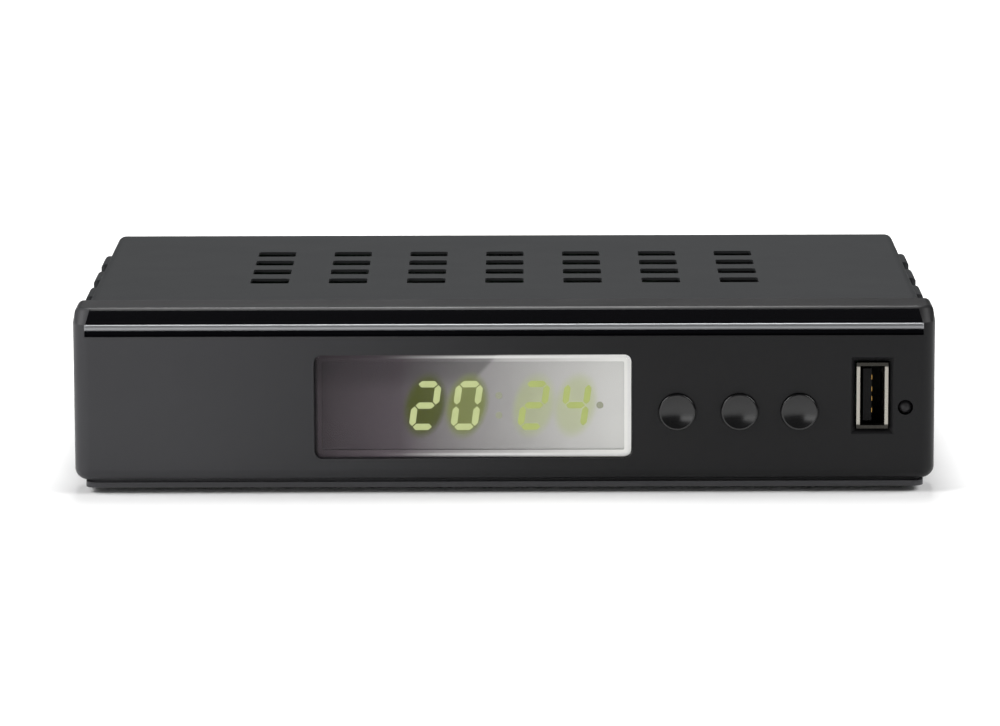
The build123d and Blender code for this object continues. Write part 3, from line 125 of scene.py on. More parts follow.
# --- Settings that a user would change ---
def colour(label, hex_colour, description):
    """Colour setting."""
    return bpy.props.FloatVectorProperty(
        name=label,
        description=description,
        default=linear(hex_colour),
        min=0,
        max=1,
        size=4,
        subtype="COLOR",
    )


def length(label, size, description):
    """Length setting, given here in millimetres and kept in metres."""
    return bpy.props.FloatProperty(
        name=label,
        description=description,
        default=size * MM,
        min=0,
        precision=5,
        subtype="DISTANCE",
        unit="LENGTH",
    )


def share(label, value, description):
    """Setting from 0 to 1."""
    return bpy.props.FloatProperty(
        name=label, description=description, default=value, min=0, max=1, subtype="FACTOR"
    )


def angle(label, degrees, description):
    """Angle setting, given here in degrees."""
    return bpy.props.FloatProperty(
        name=label,
        description=description,
        default=math.radians(degrees),
        min=-math.pi,
        max=math.pi,
        subtype="ANGLE",
        unit="ROTATION",
    )


class CaseSettings(bpy.types.PropertyGroup):
    """Cover, chassis, feet and screws"""

    cover: colour("Cover", "#2f3031", "Powder coat of the folded cover")
    cover_roughness: share("Cover roughness", 0.68, "How dull the powder coat is")
    chassis: colour("Chassis", "#8f908e", "Zinc on the steel chassis")
    rubber: colour("Feet", "#1c1c1d", "Rubber of the feet")
    screw: colour("Screws", "#5f6164", "Blackened zinc of the screws")
    edge: length("Folded edges", 0.12, "Rounding of the sheet metal's edges")
    thread_pitch: length("Screw pitch", 0.7, "Pitch of the screws' thread")


class PanelSettings(bpy.types.PropertyGroup):
    """Front panel, buttons and indicator"""

    # The face's left and right tones are painted light and shade over one satin ABS.
    face: colour("Face, left", "#3b3b3d", "Satin ABS of the face at its left end")
    face_right_painted_shade: colour("Face, right", "#1a1a1b", "Satin ABS of the face at its right end, where it is darker")
    brow: colour("Brow", "#08080a", "Gloss band along the top")
    bead: colour("Bead", "#848587", "Metal paint of the strip under the brow")
    button: colour("Buttons", "#09090a", "Semi-gloss ABS of the buttons")
    lamp: colour("Indicator", "#1c1b1d", "Smoky resin of the indicator")
    face_roughness: share("Face roughness", 0.38, "How dull the moulded face is")
    grain: length("Grain", 0.35, "Distance between the bumps of the eroded mould texture")
    edge: length("Edges", 0.18, "Rounding of the moulding's edges")


class WindowSettings(bpy.types.PropertyGroup):
    """Window, its mirror film and the clock"""

    # The film's colours are a painted reflection.
    film_reflection_dark: colour("Film, dark end", "#3d363a", "Mirror film at the left end")
    film_reflection_knee: colour("Film, knee", "#635a60", "Mirror film where it begins to get lighter")
    film_reflection_light: colour("Film, light end", "#fcfcf8", "Mirror film at the right end")
    film_reflection_step: share("Film step", 0.56, "How much darker the film is beyond its slanted edge")
    lit: colour("Lit segments", "#dbe6a2", "Light of the two digits on the left")
    dim: colour("Dim segments", "#c8d67c", "Light of the two digits on the right")
    faint: colour("Faint segments", "#bcbfa6", "Light of the colon and the dot")
    # The halos are glow painted on the film's colour.
    halo: colour("Halo", "#555e0c", "Light that the film spreads around the first digit")
    halo_next: colour("Next halo", "#8e9850", "Light that the film spreads around the second digit")
    unlit: colour("Unlit segments", "#5c5e50", "Milky resin of the segments that are off")
    halo_reach: length("Halo reach", 1.6, "How far the light spreads around the digits")


class SocketSettings(bpy.types.PropertyGroup):
    """Sockets on the front and the rear"""

    nickel: colour("Nickel", "#c4c0b6", "Plating of the sockets")
    moulded: colour("Moulded black", "#161617", "Glass-filled plastic of the sockets")
    gold: colour("Gold", "#e0b060", "Plating of the contacts")
    polythene: colour("Polythene", "#dcd8cc", "Cores of the aerial sockets")
    orange: colour("Orange core", "#c85a1c", "Core of the digital sound socket")
    yellow: colour("Yellow core", "#d8b11e", "Core of the video socket")
    white: colour("White core", "#d9d9d4", "Core of the left sound socket")
    red: colour("Red core", "#a8231f", "Core of the right sound socket")
    thread_pitch: length("Thread pitch", 0.79375, "Pitch of the aerial sockets' thread")
    thread_depth: length("Thread depth", 0.4, "Depth of the aerial sockets' thread")


class BoardSettings(bpy.types.PropertyGroup):
    """Boards and what is soldered to them"""

    mask: colour("Solder mask", "#1c5433", "Green lacquer of the boards")
    track: colour("Tracks", "#3c7c46", "Copper seen through the lacquer")
    laminate: colour("Laminate", "#a3a06b", "Cut edge of the glass laminate")
    epoxy: colour("Chip epoxy", "#1d1d1f", "Moulding compound of the chips")
    tin: colour("Tin", "#b6b8b7", "Tinned steel and leads")
    brass: colour("Brass", "#c9a45a", "Turned brass of the standoffs")
    sleeve: colour("Capacitor sleeve", "#20242f", "Shrunk sleeve of the capacitors")
    stripe: colour("Capacitor stripe", "#a9adb3", "Stripe that marks the negative side")
    aluminium: colour("Aluminium", "#b9bbbd", "Capacitor tops and the heatsink")
    track_pitch: length("Track pitch", 1.27, "Distance between the boards' tracks")
    lead_pitch: length("Lead pitch", 0.8, "Distance between the memory chips' leads")


class StageSettings(bpy.types.PropertyGroup):
    """Floor, lights and camera"""

    floor: colour("Floor", "#f4f4f4", "Matt paper floor")
    distance: length("Camera distance", 1126.6, "From the camera to the point that it looks at")
    elevation: angle("Elevation", 10.055, "How far down the camera looks")
    turn: angle("Turn", 0.233, "How far the camera stands to the right")
    roll: angle("Roll", -0.195, "How far the camera leans")
    lens: bpy.props.FloatProperty(
        name="Lens", description="Focal length in millimetres", default=194.75, min=10, max=500
    )


GROUPS = {
    "case": CaseSettings,
    "panel": PanelSettings,
    "window": WindowSettings,
    "sockets": SocketSettings,
    "boards": BoardSettings,
    "stage": StageSettings,
}


# --- Materials: the parts that they are made from ---
def add(material, kind, sockets=None, **settings):
    """Adds a node to a material, sets it up, and fills its sockets with values or links."""
    tree = material.node_tree
    node = tree.nodes.new("ShaderNode" + kind)
    for name, value in settings.items():
        setattr(node, name, value)
    for name, value in (sockets or {}).items():
        if isinstance(value, bpy.types.NodeSocket):
            tree.links.new(value, node.inputs[name])
        else:
            node.inputs[name].default_value = value
    return node


def fill(material, **sockets):
    """Fills sockets of a material's shader by name with values or links: base_color is Base Color."""
    shader = material.node_tree.nodes["Principled BSDF"]
    named = {socket.name.lower().replace(" ", "_"): socket for socket in shader.inputs}
    for name, value in sockets.items():
        if isinstance(value, bpy.types.NodeSocket):
            material.node_tree.links.new(value, named[name])
        else:
            named[name].default_value = value


def surface(name, **sockets):
    """New material with its shader's sockets filled."""
    material = bpy.data.materials.new(name)
    material.use_nodes = True
    fill(material, **sockets)
    return material


def place_on(material, stretch=(1, 1, 1)):
    """Position on the object in millimetres, stretched along its axes."""
    position = add(material, "TexCoord").outputs["Object"]
    factors = [factor / MM for factor in stretch]
    return add(material, "VectorMath", {0: position, 1: factors}, operation="MULTIPLY").outputs[0]


def coordinates(material):
    """X, Y and Z on the object in millimetres."""
    return add(material, "SeparateXYZ", {0: place_on(material)}).outputs[:3]


def result(material, operation, *values):
    """Result of one sum on numbers or sockets."""
    return add(material, "Math", dict(enumerate(values)), operation=operation).outputs[0]


def product(material, *factors):
    """Product of several masks."""
    total = factors[0]
    for factor in factors[1:]:
        total = result(material, "MULTIPLY", total, factor)
    return total


def away(material, value, place):
    """Distance of a value from a place."""
    return result(material, "ABSOLUTE", result(material, "SUBTRACT", value, place))


def ease(material, value, start, end, low=0.0, high=1.0):
    """Smooth change from low to high as a value goes from start to end."""
    sockets = {"Value": value, "From Min": start, "From Max": end, "To Min": low, "To Max": high}
    return add(material, "MapRange", sockets, interpolation_type="SMOOTHSTEP").outputs[0]


def within(material, value, low, high, soft=0.05):
    """1 where a value lies between two limits, with soft ends."""
    above = ease(material, value, low - soft, low + soft)
    return product(material, above, ease(material, value, high - soft, high + soft, 1.0, 0.0))


def blend(material, factor, first, second):
    """Mix of two colours."""
    return add(material, "Mix", {0: factor, 6: first, 7: second}, data_type="RGBA").outputs[2]


def between(material, factor, first, second):
    """Mix of two numbers."""
    return add(material, "Mix", {0: factor, 2: first, 3: second}).outputs[0]


def shade(tone, factor):
    """A colour made darker or lighter."""
    return [min(1.0, part * factor) for part in tone[:3]] + [1.0]


def lumps(material, size, detail=2.0, stretch=(1, 1, 1)):
    """Soft random pattern with lumps of a size in millimetres, from 0 to 1."""
    sockets = {"Vector": place_on(material, stretch), "Scale": 1 / size, "Detail": detail, "Roughness": 0.6}
    return add(material, "TexNoise", sockets).outputs["Fac"]


def patchy(material, pattern, low, high):
    """Number that drifts from low to high with a soft random pattern."""
    return ease(material, pattern, *PATTERN_RANGE, low, high)


def relief(material, height, depth):
    """Surface normal from a height from 0 to 1, with its depth in millimetres."""
    return add(material, "Bump", {"Height": height, "Distance": depth * MM, "Strength": 1.0}).outputs[0]


def grained(name, tone, roughness, grain, depth, drift=0.08, **sockets):
    """Moulded surface with a fine grain, a slow drift of its tone, and patches that shine more or less.

    The real grain of such a surface is a few hundredths of a millimetre. That is too fine to show, so
    the grain is drawn several times as coarse, at the size in millimetres that each finish gives.
    """
    material = surface(name, **sockets)
    fine = lumps(material, grain)
    slow = lumps(material, 30 * grain, 3.0)
    tones = blend(material, slow, shade(tone, 1 - drift), shade(tone, 1 + drift))
    rough = patchy(material, slow, roughness * 0.88, min(1.0, roughness * 1.12))
    fill(material, base_color=tones, roughness=rough, normal=relief(material, fine, depth))
    return material


# --- Materials: one for each finish ---
def panel_zones(material, x, y, z):
    """Masks of the panel's brow, of the bead under it and of the groove under that."""
    across = result(material, "ABSOLUTE", x)
    rise = result(material, "SUBTRACT", z, BROW_LEVEL)
    slanted = result(material, "MULTIPLY_ADD", rise, BROW_END_SLANT, across)
    past_end = result(material, "SUBTRACT", slanted, BROW_HALF)
    on_brow = product(
        material,
        within(material, z, BROW_LEVEL, BROW_TOP, 0.04),
        ease(material, past_end, -0.08, 0.08, 1.0, 0.0),
    )
    along_bead = ease(material, across, BEAD_HALF - 0.04, BEAD_HALF + 0.04, 1.0, 0.0)
    on_bead = product(
        material,
        within(material, z, BEAD_LEVEL, BROW_LEVEL, 0.03),
        along_bead,
        ease(material, y, PANEL_LOW.y + BEAD_DEPTH - 0.06, PANEL_LOW.y + BEAD_DEPTH, 1.0, 0.0),
    )
    groove_painted_shade = product(
        material,
        within(material, z, GROOVE_LEVEL, BEAD_LEVEL + 0.02, 0.03),
        along_bead,
        ease(material, y, PANEL_LOW.y + GROOVE_DEPTHS[0], PANEL_LOW.y + GROOVE_DEPTHS[1]),
    )
    return on_brow, on_bead, groove_painted_shade


def satin_moulded_abs(settings):
    """ABS from an eroded mould: satin face and cheeks, gloss brow, groove painted black as shade, bead in
    metal paint.

    The mould's bumps are about 0.15 mm apart. That is too fine to show, so they are drawn about twice
    as far apart.
    """
    material = surface("satin_moulded_abs", ior=1.53, specular_ior_level=0.14)
    x, y, z = coordinates(material)
    on_brow, on_bead, groove_painted_shade = panel_zones(material, x, y, z)
    drift = lumps(material, 18.0, 3.0)
    # Painted light and shade: the face goes from its lighter left tone to its darker right tone.
    face = blend(material, ease(material, x, *FACE_TONE_RUN), list(settings.face), list(settings.face_right_painted_shade))
    face = blend(material, product(material, drift, 0.12), face, list(settings.brow))
    # The plinth strip is painted 1.3 times as light as the face: a painted highlight for the floor's light on
    # it.
    plinth_painted_highlight = ease(material, z, PLINTH_LEVEL - 0.05, PLINTH_LEVEL + 0.05, 1.0, 0.0)
    face = blend(material, plinth_painted_highlight, face, shade(settings.face, 1.3))
    on_top = ease(material, z, BROW_TOP, BROW_TOP + 0.05, 0.0, 0.7)
    face = blend(material, on_top, face, list(settings.brow))
    # The brow's gloss band is black paint; the groove's black is painted shade.
    black = result(material, "MAXIMUM", on_brow, groove_painted_shade)
    tones = blend(material, black, face, list(settings.brow))
    tones = blend(material, on_bead, tones, list(settings.bead))
    satin = patchy(material, drift, settings.face_roughness - 0.03, settings.face_roughness + 0.03)
    # The gloss ends below the brow's rounded edge, where it would show as a hard white line.
    glossy = product(material, on_brow, ease(material, z, BROW_TOP - 0.5, BROW_TOP - 0.3, 1.0, 0.0))
    gloss_roughness, bead_roughness, bead_metal = 0.08, 0.4, 0.8
    rough = between(material, glossy, satin, gloss_roughness)
    bumps = lumps(material, settings.grain / MM, 3.0)
    smooth = result(material, "MAXIMUM", on_brow, on_bead)
    height = between(material, smooth, bumps, 0.5)
    # The groove is painted black as shade, and is metallic because black metal gives no sheen, so it stays
    # black from any side.
    fill(
        material,
        base_color=tones,
        roughness=between(material, on_bead, rough, bead_roughness),
        metallic=result(material, "MAXIMUM", product(material, on_bead, bead_metal), groove_painted_shade),
        normal=relief(material, height, 0.014),
    )
    return material


def powder_coated_steel(settings):
    """Powder coat on steel: an orange peel of 0.6 mm that spreads highlights wide over the cover."""
    material = surface("powder_coated_steel", ior=1.5, specular_ior_level=0.05)
    peel = lumps(material, 0.6, 3.0)
    drift = lumps(material, 25.0, 2.0)
    tones = blend(material, drift, shade(settings.cover, 0.94), shade(settings.cover, 1.06))
    rough = patchy(material, drift, settings.cover_roughness - 0.03, settings.cover_roughness + 0.03)
    fill(material, base_color=tones, roughness=rough, normal=relief(material, peel, 0.02))
    return material


def zinc_plated_sheet(settings):
    """Electroplated steel sheet: grey metal with faint rolling lines and cloudy patches.

    The real lines are a few hundredths of a millimetre apart. They are drawn 0.25 mm apart to show.
    """
    material = surface("zinc_plated_sheet", metallic=1.0)
    lines = lumps(material, 0.25, 2.0, (0.02, 1, 1))
    clouds = lumps(material, 9.0, 4.0)
    tones = blend(material, clouds, shade(settings.chassis, 0.86), shade(settings.chassis, 1.1))
    rough = result(material, "ADD", patchy(material, clouds, 0.3, 0.46), product(material, lines, 0.06))
    fill(material, base_color=tones, roughness=rough, normal=relief(material, lines, 0.003))
    return material


def polished_smoked_acrylic():
    """Cast acrylic pane: clear with a breath of smoke, and a hard polished shine."""
    material = surface("polished_smoked_acrylic", ior=1.49, alpha=0.14)
    haze = lumps(material, 6.0, 2.0)
    tones = blend(material, haze, linear("#1c1a1d"), linear("#242226"))
    fill(material, base_color=tones, roughness=patchy(material, haze, 0.03, 0.06))
    return material


def graded_mirror_film(settings):
    """Mirror film with a painted reflection: near black at one end, silver at the other, in two tones."""
    material = surface("graded_mirror_film", ior=1.5, specular_ior_level=0.3)
    x, _, z = coordinates(material)
    run = WINDOW_HIGH.x - WINDOW_LOW.x
    along = result(material, "DIVIDE", result(material, "SUBTRACT", x, WINDOW_LOW.x), run)
    ramp = add(material, "ValToRGB", {0: along})
    stops = ramp.color_ramp.elements
    stops[0].color = list(settings.film_reflection_dark)
    stops[1].color = list(settings.film_reflection_light)
    stops.new(FILM_KNEE).color = list(settings.film_reflection_knee)
    drop = result(material, "SUBTRACT", WINDOW_HIGH.z, z)
    edge = result(material, "MULTIPLY_ADD", drop, FILM_STEP_SLOPE, WINDOW_HIGH.x - FILM_STEP_START)
    # The painted reflection is darker to the left of its slanted edge, and the step fades on its way down.
    beyond = product(
        material,
        ease(material, result(material, "SUBTRACT", x, edge), -1.0, 0.6, 1.0, 0.0),
        ease(material, drop, 3.5, 9.0, 1.0, 0.15),
    )
    step = [settings.film_reflection_step] * 3 + [1]
    sockets = {0: 1.0, 6: ramp.outputs[0], 7: step}
    darker = add(material, "Mix", sockets, data_type="RGBA", blend_type="MULTIPLY")
    tones = blend(material, beyond, ramp.outputs[0], darker.outputs[2])
    tones = painted_glow_on(material, settings, x, z, tones)
    tones = paint_rim_highlight_and_shade(material, x, z, tones)
    drift = lumps(material, 5.0)
    fill(material, base_color=tones, metallic=0.7, roughness=patchy(material, drift, 0.28, 0.34))
    return material


def painted_glow_on(material, settings, x, z, tones):
    """Tones of the film with the digits' light painted around each of them in a soft oval."""
    level = (WINDOW_LOW.z + WINDOW_HIGH.z) / 2
    rise = result(material, "SUBTRACT", z, level)
    upright = result(material, "MULTIPLY_ADD", rise, -math.tan(SLANT), x)
    half_high = DIGIT_SIZE[1] / 2 + settings.halo_reach / MM
    half_wide = DIGIT_SIZE[0] / 2 + settings.halo_reach / MM
    glows = (settings.halo, settings.halo_next, settings.dim, settings.dim)
    strengths = (0.9, 0.9, 0.45, 0.45)
    for centre, glow, strength in zip(DIGIT_MIDDLES, glows, strengths):
        aside = result(material, "DIVIDE", result(material, "SUBTRACT", upright, centre), half_wide)
        above = result(material, "DIVIDE", rise, half_high)
        squares = result(material, "ADD", product(material, aside, aside), product(material, above, above))
        near = ease(material, squares, 0.45, 1.25, strength, 0.0)
        tones = blend(material, near, tones, list(glow))
    return tones


def paint_rim_highlight_and_shade(material, x, z, tones):
    """Tones of the film with a painted highlight along three edges of the pane and a painted shade line at
    its left.
    """
    to_right = result(material, "SUBTRACT", WINDOW_HIGH.x, x)
    to_top = result(material, "SUBTRACT", WINDOW_HIGH.z, z)
    to_low = result(material, "SUBTRACT", z, WINDOW_LOW.z)
    to_left = result(material, "SUBTRACT", x, WINDOW_LOW.x)
    near = result(material, "MINIMUM", result(material, "MINIMUM", to_top, to_low), to_right)
    line = within(material, near, 0.35, 0.85, 0.2)
    fade = ease(material, to_left, 12.0, 45.0)
    tones = blend(material, product(material, line, fade), tones, linear("#f4f4f2"))
    return blend(material, ease(material, to_left, 0.3, 0.9, 0.8, 0.0), tones, linear("#0c0b0c"))


def glowing_resin(name, tone, strength):
    """Milky epoxy over a lit diode: even light that falls off a little from patch to patch."""
    material = surface(name, base_color=[0.02, 0.02, 0.02, 1.0], roughness=0.6, specular_ior_level=0.1)
    drift = lumps(material, 2.0, 1.0)
    light = blend(material, drift, shade(tone, 0.9), shade(tone, 1.08))
    fill(material, emission_color=light, emission_strength=strength)
    return material


def lacquered_board(settings, flat_axis, name):
    """Glass laminate under green lacquer: copper tracks show as lighter lines, with tinned holes."""
    material = surface(name, ior=1.55)
    place = coordinates(material)
    first, second = [place[k] for k in range(3) if k != flat_axis]
    pitch = settings.track_pitch / MM
    # Blocks about 11 tracks wide. Half of them run the other way, and a quarter have no track.
    blocks = {"Vector": place_on(material), "Scale": 1 / (11 * pitch)}
    cells = add(material, "TexVoronoi", blocks, distance="CHEBYCHEV")
    chance = add(material, "SeparateColor", {0: cells.outputs["Color"]}).outputs
    along = between(material, ease(material, chance[0], 0.49, 0.51), first, second)
    line = result(material, "FRACT", result(material, "DIVIDE", along, pitch))
    used = ease(material, chance[1], 0.24, 0.26)
    track = product(material, within(material, line, 0.3, 0.62, 0.04), used)
    spots = {"Vector": place_on(material), "Scale": 1 / (4 * pitch), "Randomness": 0.7}
    holes = add(material, "TexVoronoi", spots)
    pad = ease(material, holes.outputs["Distance"], 0.08, 0.1, 1.0, 0.0)
    tones = blend(material, track, list(settings.mask), list(settings.track))
    tones = blend(material, pad, tones, list(settings.tin))
    facing = add(material, "SeparateXYZ", {0: add(material, "NewGeometry").outputs["Normal"]})
    cut = ease(material, result(material, "ABSOLUTE", facing.outputs[flat_axis]), 0.5, 0.7, 1.0, 0.0)
    tones = blend(material, cut, tones, list(settings.laminate))
    shiny = product(material, pad, result(material, "SUBTRACT", 1.0, cut))
    fill(
        material,
        base_color=tones,
        metallic=shiny,
        roughness=between(material, cut, between(material, track, 0.26, 0.34), 0.8),
        normal=relief(material, result(material, "MAXIMUM", track, pad), 0.035),
    )
    return material


def ribbed_pvc():
    """Grey flat cable: cores 1.27 mm apart under soft PVC, the first one red."""
    material = surface("ribbed_pvc", ior=1.53, specular_ior_level=0.4)
    x = coordinates(material)[0]
    low = span("ribbon_cable")[0]
    core_pitch = 1.27
    core = result(material, "DIVIDE", result(material, "SUBTRACT", x, low.x), core_pitch)
    swell = result(material, "SINE", product(material, result(material, "FRACT", core), math.pi))
    first = ease(material, core, 0.95, 1.0, 1.0, 0.0)
    drift = lumps(material, 3.0, 2.0)
    grey = blend(material, drift, linear("#8d8f90"), linear("#9c9e9e"))
    tones = blend(material, first, grey, linear("#9a3430"))
    # The valleys between the cores are painted darker: painted shade.
    valley_shade = ease(material, swell, 0.0, 0.35, 0.55, 1.0)
    fill(
        material,
        base_color=blend(material, valley_shade, linear("#55585a"), tones),
        roughness=patchy(material, drift, 0.42, 0.52),
        normal=relief(material, swell, 0.2),
    )
    return material


def capped_ceramic(settings):
    """Barium titanate blocks: tan and chalky, with a bright tinned cap at both ends."""
    material = surface("capped_ceramic")
    x = coordinates(material)[0]
    boxes = solids("chip_capacitors")
    low, high = boxes[0]
    pitch = min(box[0].x - low.x for box in boxes if box[0].x > low.x + 0.1)
    local = result(material, "MODULO", result(material, "SUBTRACT", x, low.x - pitch), pitch)
    size = high.x - low.x
    body = within(material, local, 0.2 * size, 0.8 * size, 0.04)
    drift = lumps(material, 1.5, 2.0)
    tan = blend(material, drift, linear("#8f7350"), linear("#a3845c"))
    fill(
        material,
        base_color=blend(material, body, list(settings.tin), tan),
        metallic=result(material, "SUBTRACT", 1.0, body),
        roughness=between(material, body, 0.3, 0.6),
        normal=relief(material, drift, 0.01),
    )
    return material


def rolled_nickel(settings):
    """Nickel on a rolled steel shell: bright side lips, and lips at the top and bottom painted dark as shade.

    The marks of rolling are finer than a tenth of a millimetre. They are drawn at 0.3 mm to show.
    """
    material = surface("rolled_nickel_plate", metallic=1.0)
    z = coordinates(material)[2]
    low, high = span("usb_shell")
    middle, half = (low.z + high.z) / 2, (high.z - low.z) / 2
    # Within about a millimetre of the top and the bottom the nickel is painted nearly black: painted shade.
    lip = ease(material, away(material, z, middle), half - 1.1, half - 0.7)
    clouds = lumps(material, 3.0, 3.0)
    tones = blend(material, clouds, shade(settings.nickel, 0.62), shade(settings.nickel, 0.74))
    fill(
        material,
        base_color=blend(material, lip, tones, shade(settings.nickel, 0.07)),
        roughness=patchy(material, clouds, 0.26, 0.34),
        normal=relief(material, lumps(material, 0.3), 0.002),
    )
    return material


def plated(name, tone, roughness, patch=6.0):
    """Plated or bare metal: one even tone with faint cloudy patches and hairlines from handling.

    Real hairlines are hundredths of a millimetre wide. They are drawn 0.3 mm wide to show.
    """
    material = surface(name, metallic=1.0)
    clouds = lumps(material, patch, 3.0)
    hairs = lumps(material, 0.3, 2.0, (1, 0.08, 1))
    tones = blend(material, clouds, shade(tone, 0.92), shade(tone, 1.05))
    rough = patchy(material, clouds, roughness * 0.8, roughness * 1.2)
    fill(material, base_color=tones, roughness=rough, normal=relief(material, hairs, 0.002))
    return material


# --- Finishing the pieces that the frame brings ---
def paint(node, material):
    """Gives a node one material, in every slot that it has."""
    part = NODES[node]
    for slot in part.material_slots:
        slot.material = material
    if not part.material_slots:
        part.data.materials.append(material)


def soften(node, radius):
    """Rounds a node's sharp edges with modifiers, to a radius in millimetres."""
    part = NODES[node]
    weld = part.modifiers.new("weld seams", "WELD")
    weld.merge_threshold = SEAM * MM
    flat = part.modifiers.new("merge flats", "DECIMATE")
    flat.decimate_type = "DISSOLVE"
    flat.angle_limit = math.radians(0.4)
    edges = part.modifiers.new("round edges", "BEVEL")
    edges.width = radius * MM
    edges.segments = 2
    edges.limit_method = "ANGLE"
    edges.angle_limit = math.radians(30)
    edges.harden_normals = True
    shading = part.modifiers.new("flat faces", "WEIGHTED_NORMAL")
    shading.keep_sharp = True


def finish(nodes, material, radius=0.0):
    """One material and one edge rounding for several nodes."""
    for node in nodes.split():
        paint(node, material)
        if radius:
            soften(node, radius)


# --- Meshes ---
def build(name, shape, materials, body=ROOT, replaces=(), indices=None, sharp=35.0):
    """New piece from (corners, faces) in millimetres, riding on a body."""
    verts, faces = shape
    mesh = bpy.data.meshes.new(name)
    mesh.from_pydata([[part * MM for part in vert] for vert in verts], [], faces)
    for material in materials:
        mesh.materials.append(material)
    if indices:
        mesh.polygons.foreach_set("material_index", indices)
    work = bmesh.new()
    work.from_mesh(mesh)
    bmesh.ops.recalc_face_normals(work, faces=work.faces)
    work.to_mesh(mesh)
    work.free()
    mesh.shade_smooth()
    mesh.set_sharp_from_angle(angle=math.radians(sharp))
    made = bpy.data.objects.new(name, mesh)
    bpy.context.scene.collection.objects.link(made)
    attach(made, body)
    if replaces:
        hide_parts(*replaces)
    return made


def gather(shapes):
    """Several (corners, faces) as one."""
    verts, faces = [], []
    for more_verts, more_faces in shapes:
        start = len(verts)
        verts += more_verts
        faces += [tuple(start + index for index in face) for face in more_faces]
    return verts, faces


def plate(outline, front, back):
    """A flat outline, drawn in X and Z, given thickness from front to back."""
    count = len(outline)
    verts = [(x, y, z) for y in (front, back) for x, z in outline]
    rim = [(k, (k + 1) % count, (k + 1) % count + count, k + count) for k in range(count)]
    return verts, [tuple(range(count)), tuple(range(2 * count - 1, count - 1, -1))] + rim


def frame_plate(outer, inner, front, back):
    """The ring between two outlines with as many points, given thickness from front to back."""
    count = len(outer)
    verts = [(x, y, z) for y in (front, back) for outline in (outer, inner) for x, z in outline]
    faces = []
    for k in range(count):
        n = (k + 1) % count
        faces += [(k, n, count + n, count + k), (2 * count + k, 3 * count + k, 3 * count + n, 2 * count + n)]
        faces += [(k, 2 * count + k, 2 * count + n, n), (count + k, count + n, 3 * count + n, 3 * count + k)]
    return verts, faces


def arc(x, z, radius, start, end, steps):
    """Points in X and Z on an arc, with its angles in degrees."""
    turns = [math.radians(start + (end - start) * k / steps) for k in range(steps + 1)]
    return [(x + radius * math.cos(turn), z + radius * math.sin(turn)) for turn in turns]


def disc(x, z, radius, sides=24):
    """Round outline about (x, z), as points in X and Z."""
    return arc(x, z, radius, 0, 360 - 360 / sides, sides - 1)


def rounded(x, z, width, height, radius, steps=8):
    """Rectangle with rounded corners about (x, z), as points in X and Z."""
    points = []
    for quarter, (right, up) in enumerate(((1, 1), (-1, 1), (-1, -1), (1, -1))):
        corner_x = x + right * (width / 2 - radius)
        corner_z = z + up * (height / 2 - radius)
        points += arc(corner_x, corner_z, radius, 90 * quarter, 90 * quarter + 90, steps)
    return points


BACKWARD = (Vector((1, 0, 0)), Vector((0, 0, -1)), Vector((0, 1, 0)))
UPWARD = (Vector((1, 0, 0)), Vector((0, 1, 0)), Vector((0, 0, 1)))


def turned(origin, axes, rows, steps, closed=False):
    """Surface around an axis. Each row gives (radius, distance along the axis) for an angle."""
    across, aside, along = axes
    verts = []
    for row in rows:
        for k in range(steps):
            turn = 2 * math.pi * k / steps
            radius, far = row(turn)
            side = across * math.cos(turn) + aside * math.sin(turn)
            verts.append(tuple(origin + side * radius + along * far))
    faces = []
    count = len(rows)
    for low in range(count if closed else count - 1):
        high = (low + 1) % count
        for k in range(steps):
            n = (k + 1) % steps
            faces.append((low * steps + k, low * steps + n, high * steps + n, high * steps + k))
    if not closed:
        faces.append(tuple(range(steps - 1, -1, -1)))
        faces.append(tuple(range((count - 1) * steps, count * steps)))
    return verts, faces


def ring(radius, far):
    """Plain round row."""
    return lambda turn: (radius, far)


def clamp(value):
    """A value kept between 0 and 1."""
    return min(1.0, max(0.0, value))


def thread_rows(radius, depth, pitch, start, end, per_turn=6):
    """Rows of a screw thread from one distance to another, fading in and out over half a turn."""
    count = max(2, round(abs(end - start) / pitch * per_turn))
    rows = []
    for k in range(count + 1):
        far = start + (end - start) * k / count
        fade = min(1.0, 2 * abs(far - start) / pitch, 2 * abs(end - far) / pitch)

        def row(turn, far=far, fade=fade):
            phase = (far / pitch - turn / (2 * math.pi)) % 1.0
            return radius - depth * (1 - fade * (1 - abs(2 * phase - 1))), far

        rows.append(row)
    return rows


def cross_screw(origin, axes, head_radius, head_height, shank_radius, shank, pitch):
    """Pan head screw with a cross recess. The origin is under the head and the axis points out of it."""
    tip, neck = shank_radius * 0.55, shank_radius * 0.9
    tip_length, thread_depth = 0.6, 0.22
    rows = [ring(tip, -shank)]
    rows += thread_rows(shank_radius, thread_depth, pitch, tip_length - shank, -0.5)
    rows += [ring(neck, -0.4), ring(neck, 0.0), ring(head_radius - 0.1, 0.0)]
    rows += [ring(head_radius, 0.12), ring(head_radius, head_height * 0.45)]
    # The recess: how far its wings reach, half their width, their depth, and the widths of their walls.
    wing, blade, sink = head_radius * 0.62, 0.34, head_height * 0.72
    wall, end_wall = 0.16, 0.25
    for k in range(16):
        radius = head_radius * math.cos(math.radians(10 + 5.2 * k))

        def row(turn, radius=radius):
            crown = head_height * (0.45 + 0.55 * math.sqrt(max(0.0, 1 - (radius / head_radius) ** 2)))
            u, v = abs(radius * math.cos(turn)), abs(radius * math.sin(turn))
            inside = clamp((blade + wall / 2 - min(u, v)) / wall)
            reach = clamp((wing - radius) / end_wall)
            return radius, crown - sink * inside * reach * (0.55 + 0.45 * (1 - radius / wing))

        rows.append(row)
    return turned(origin, axes, rows, 64)


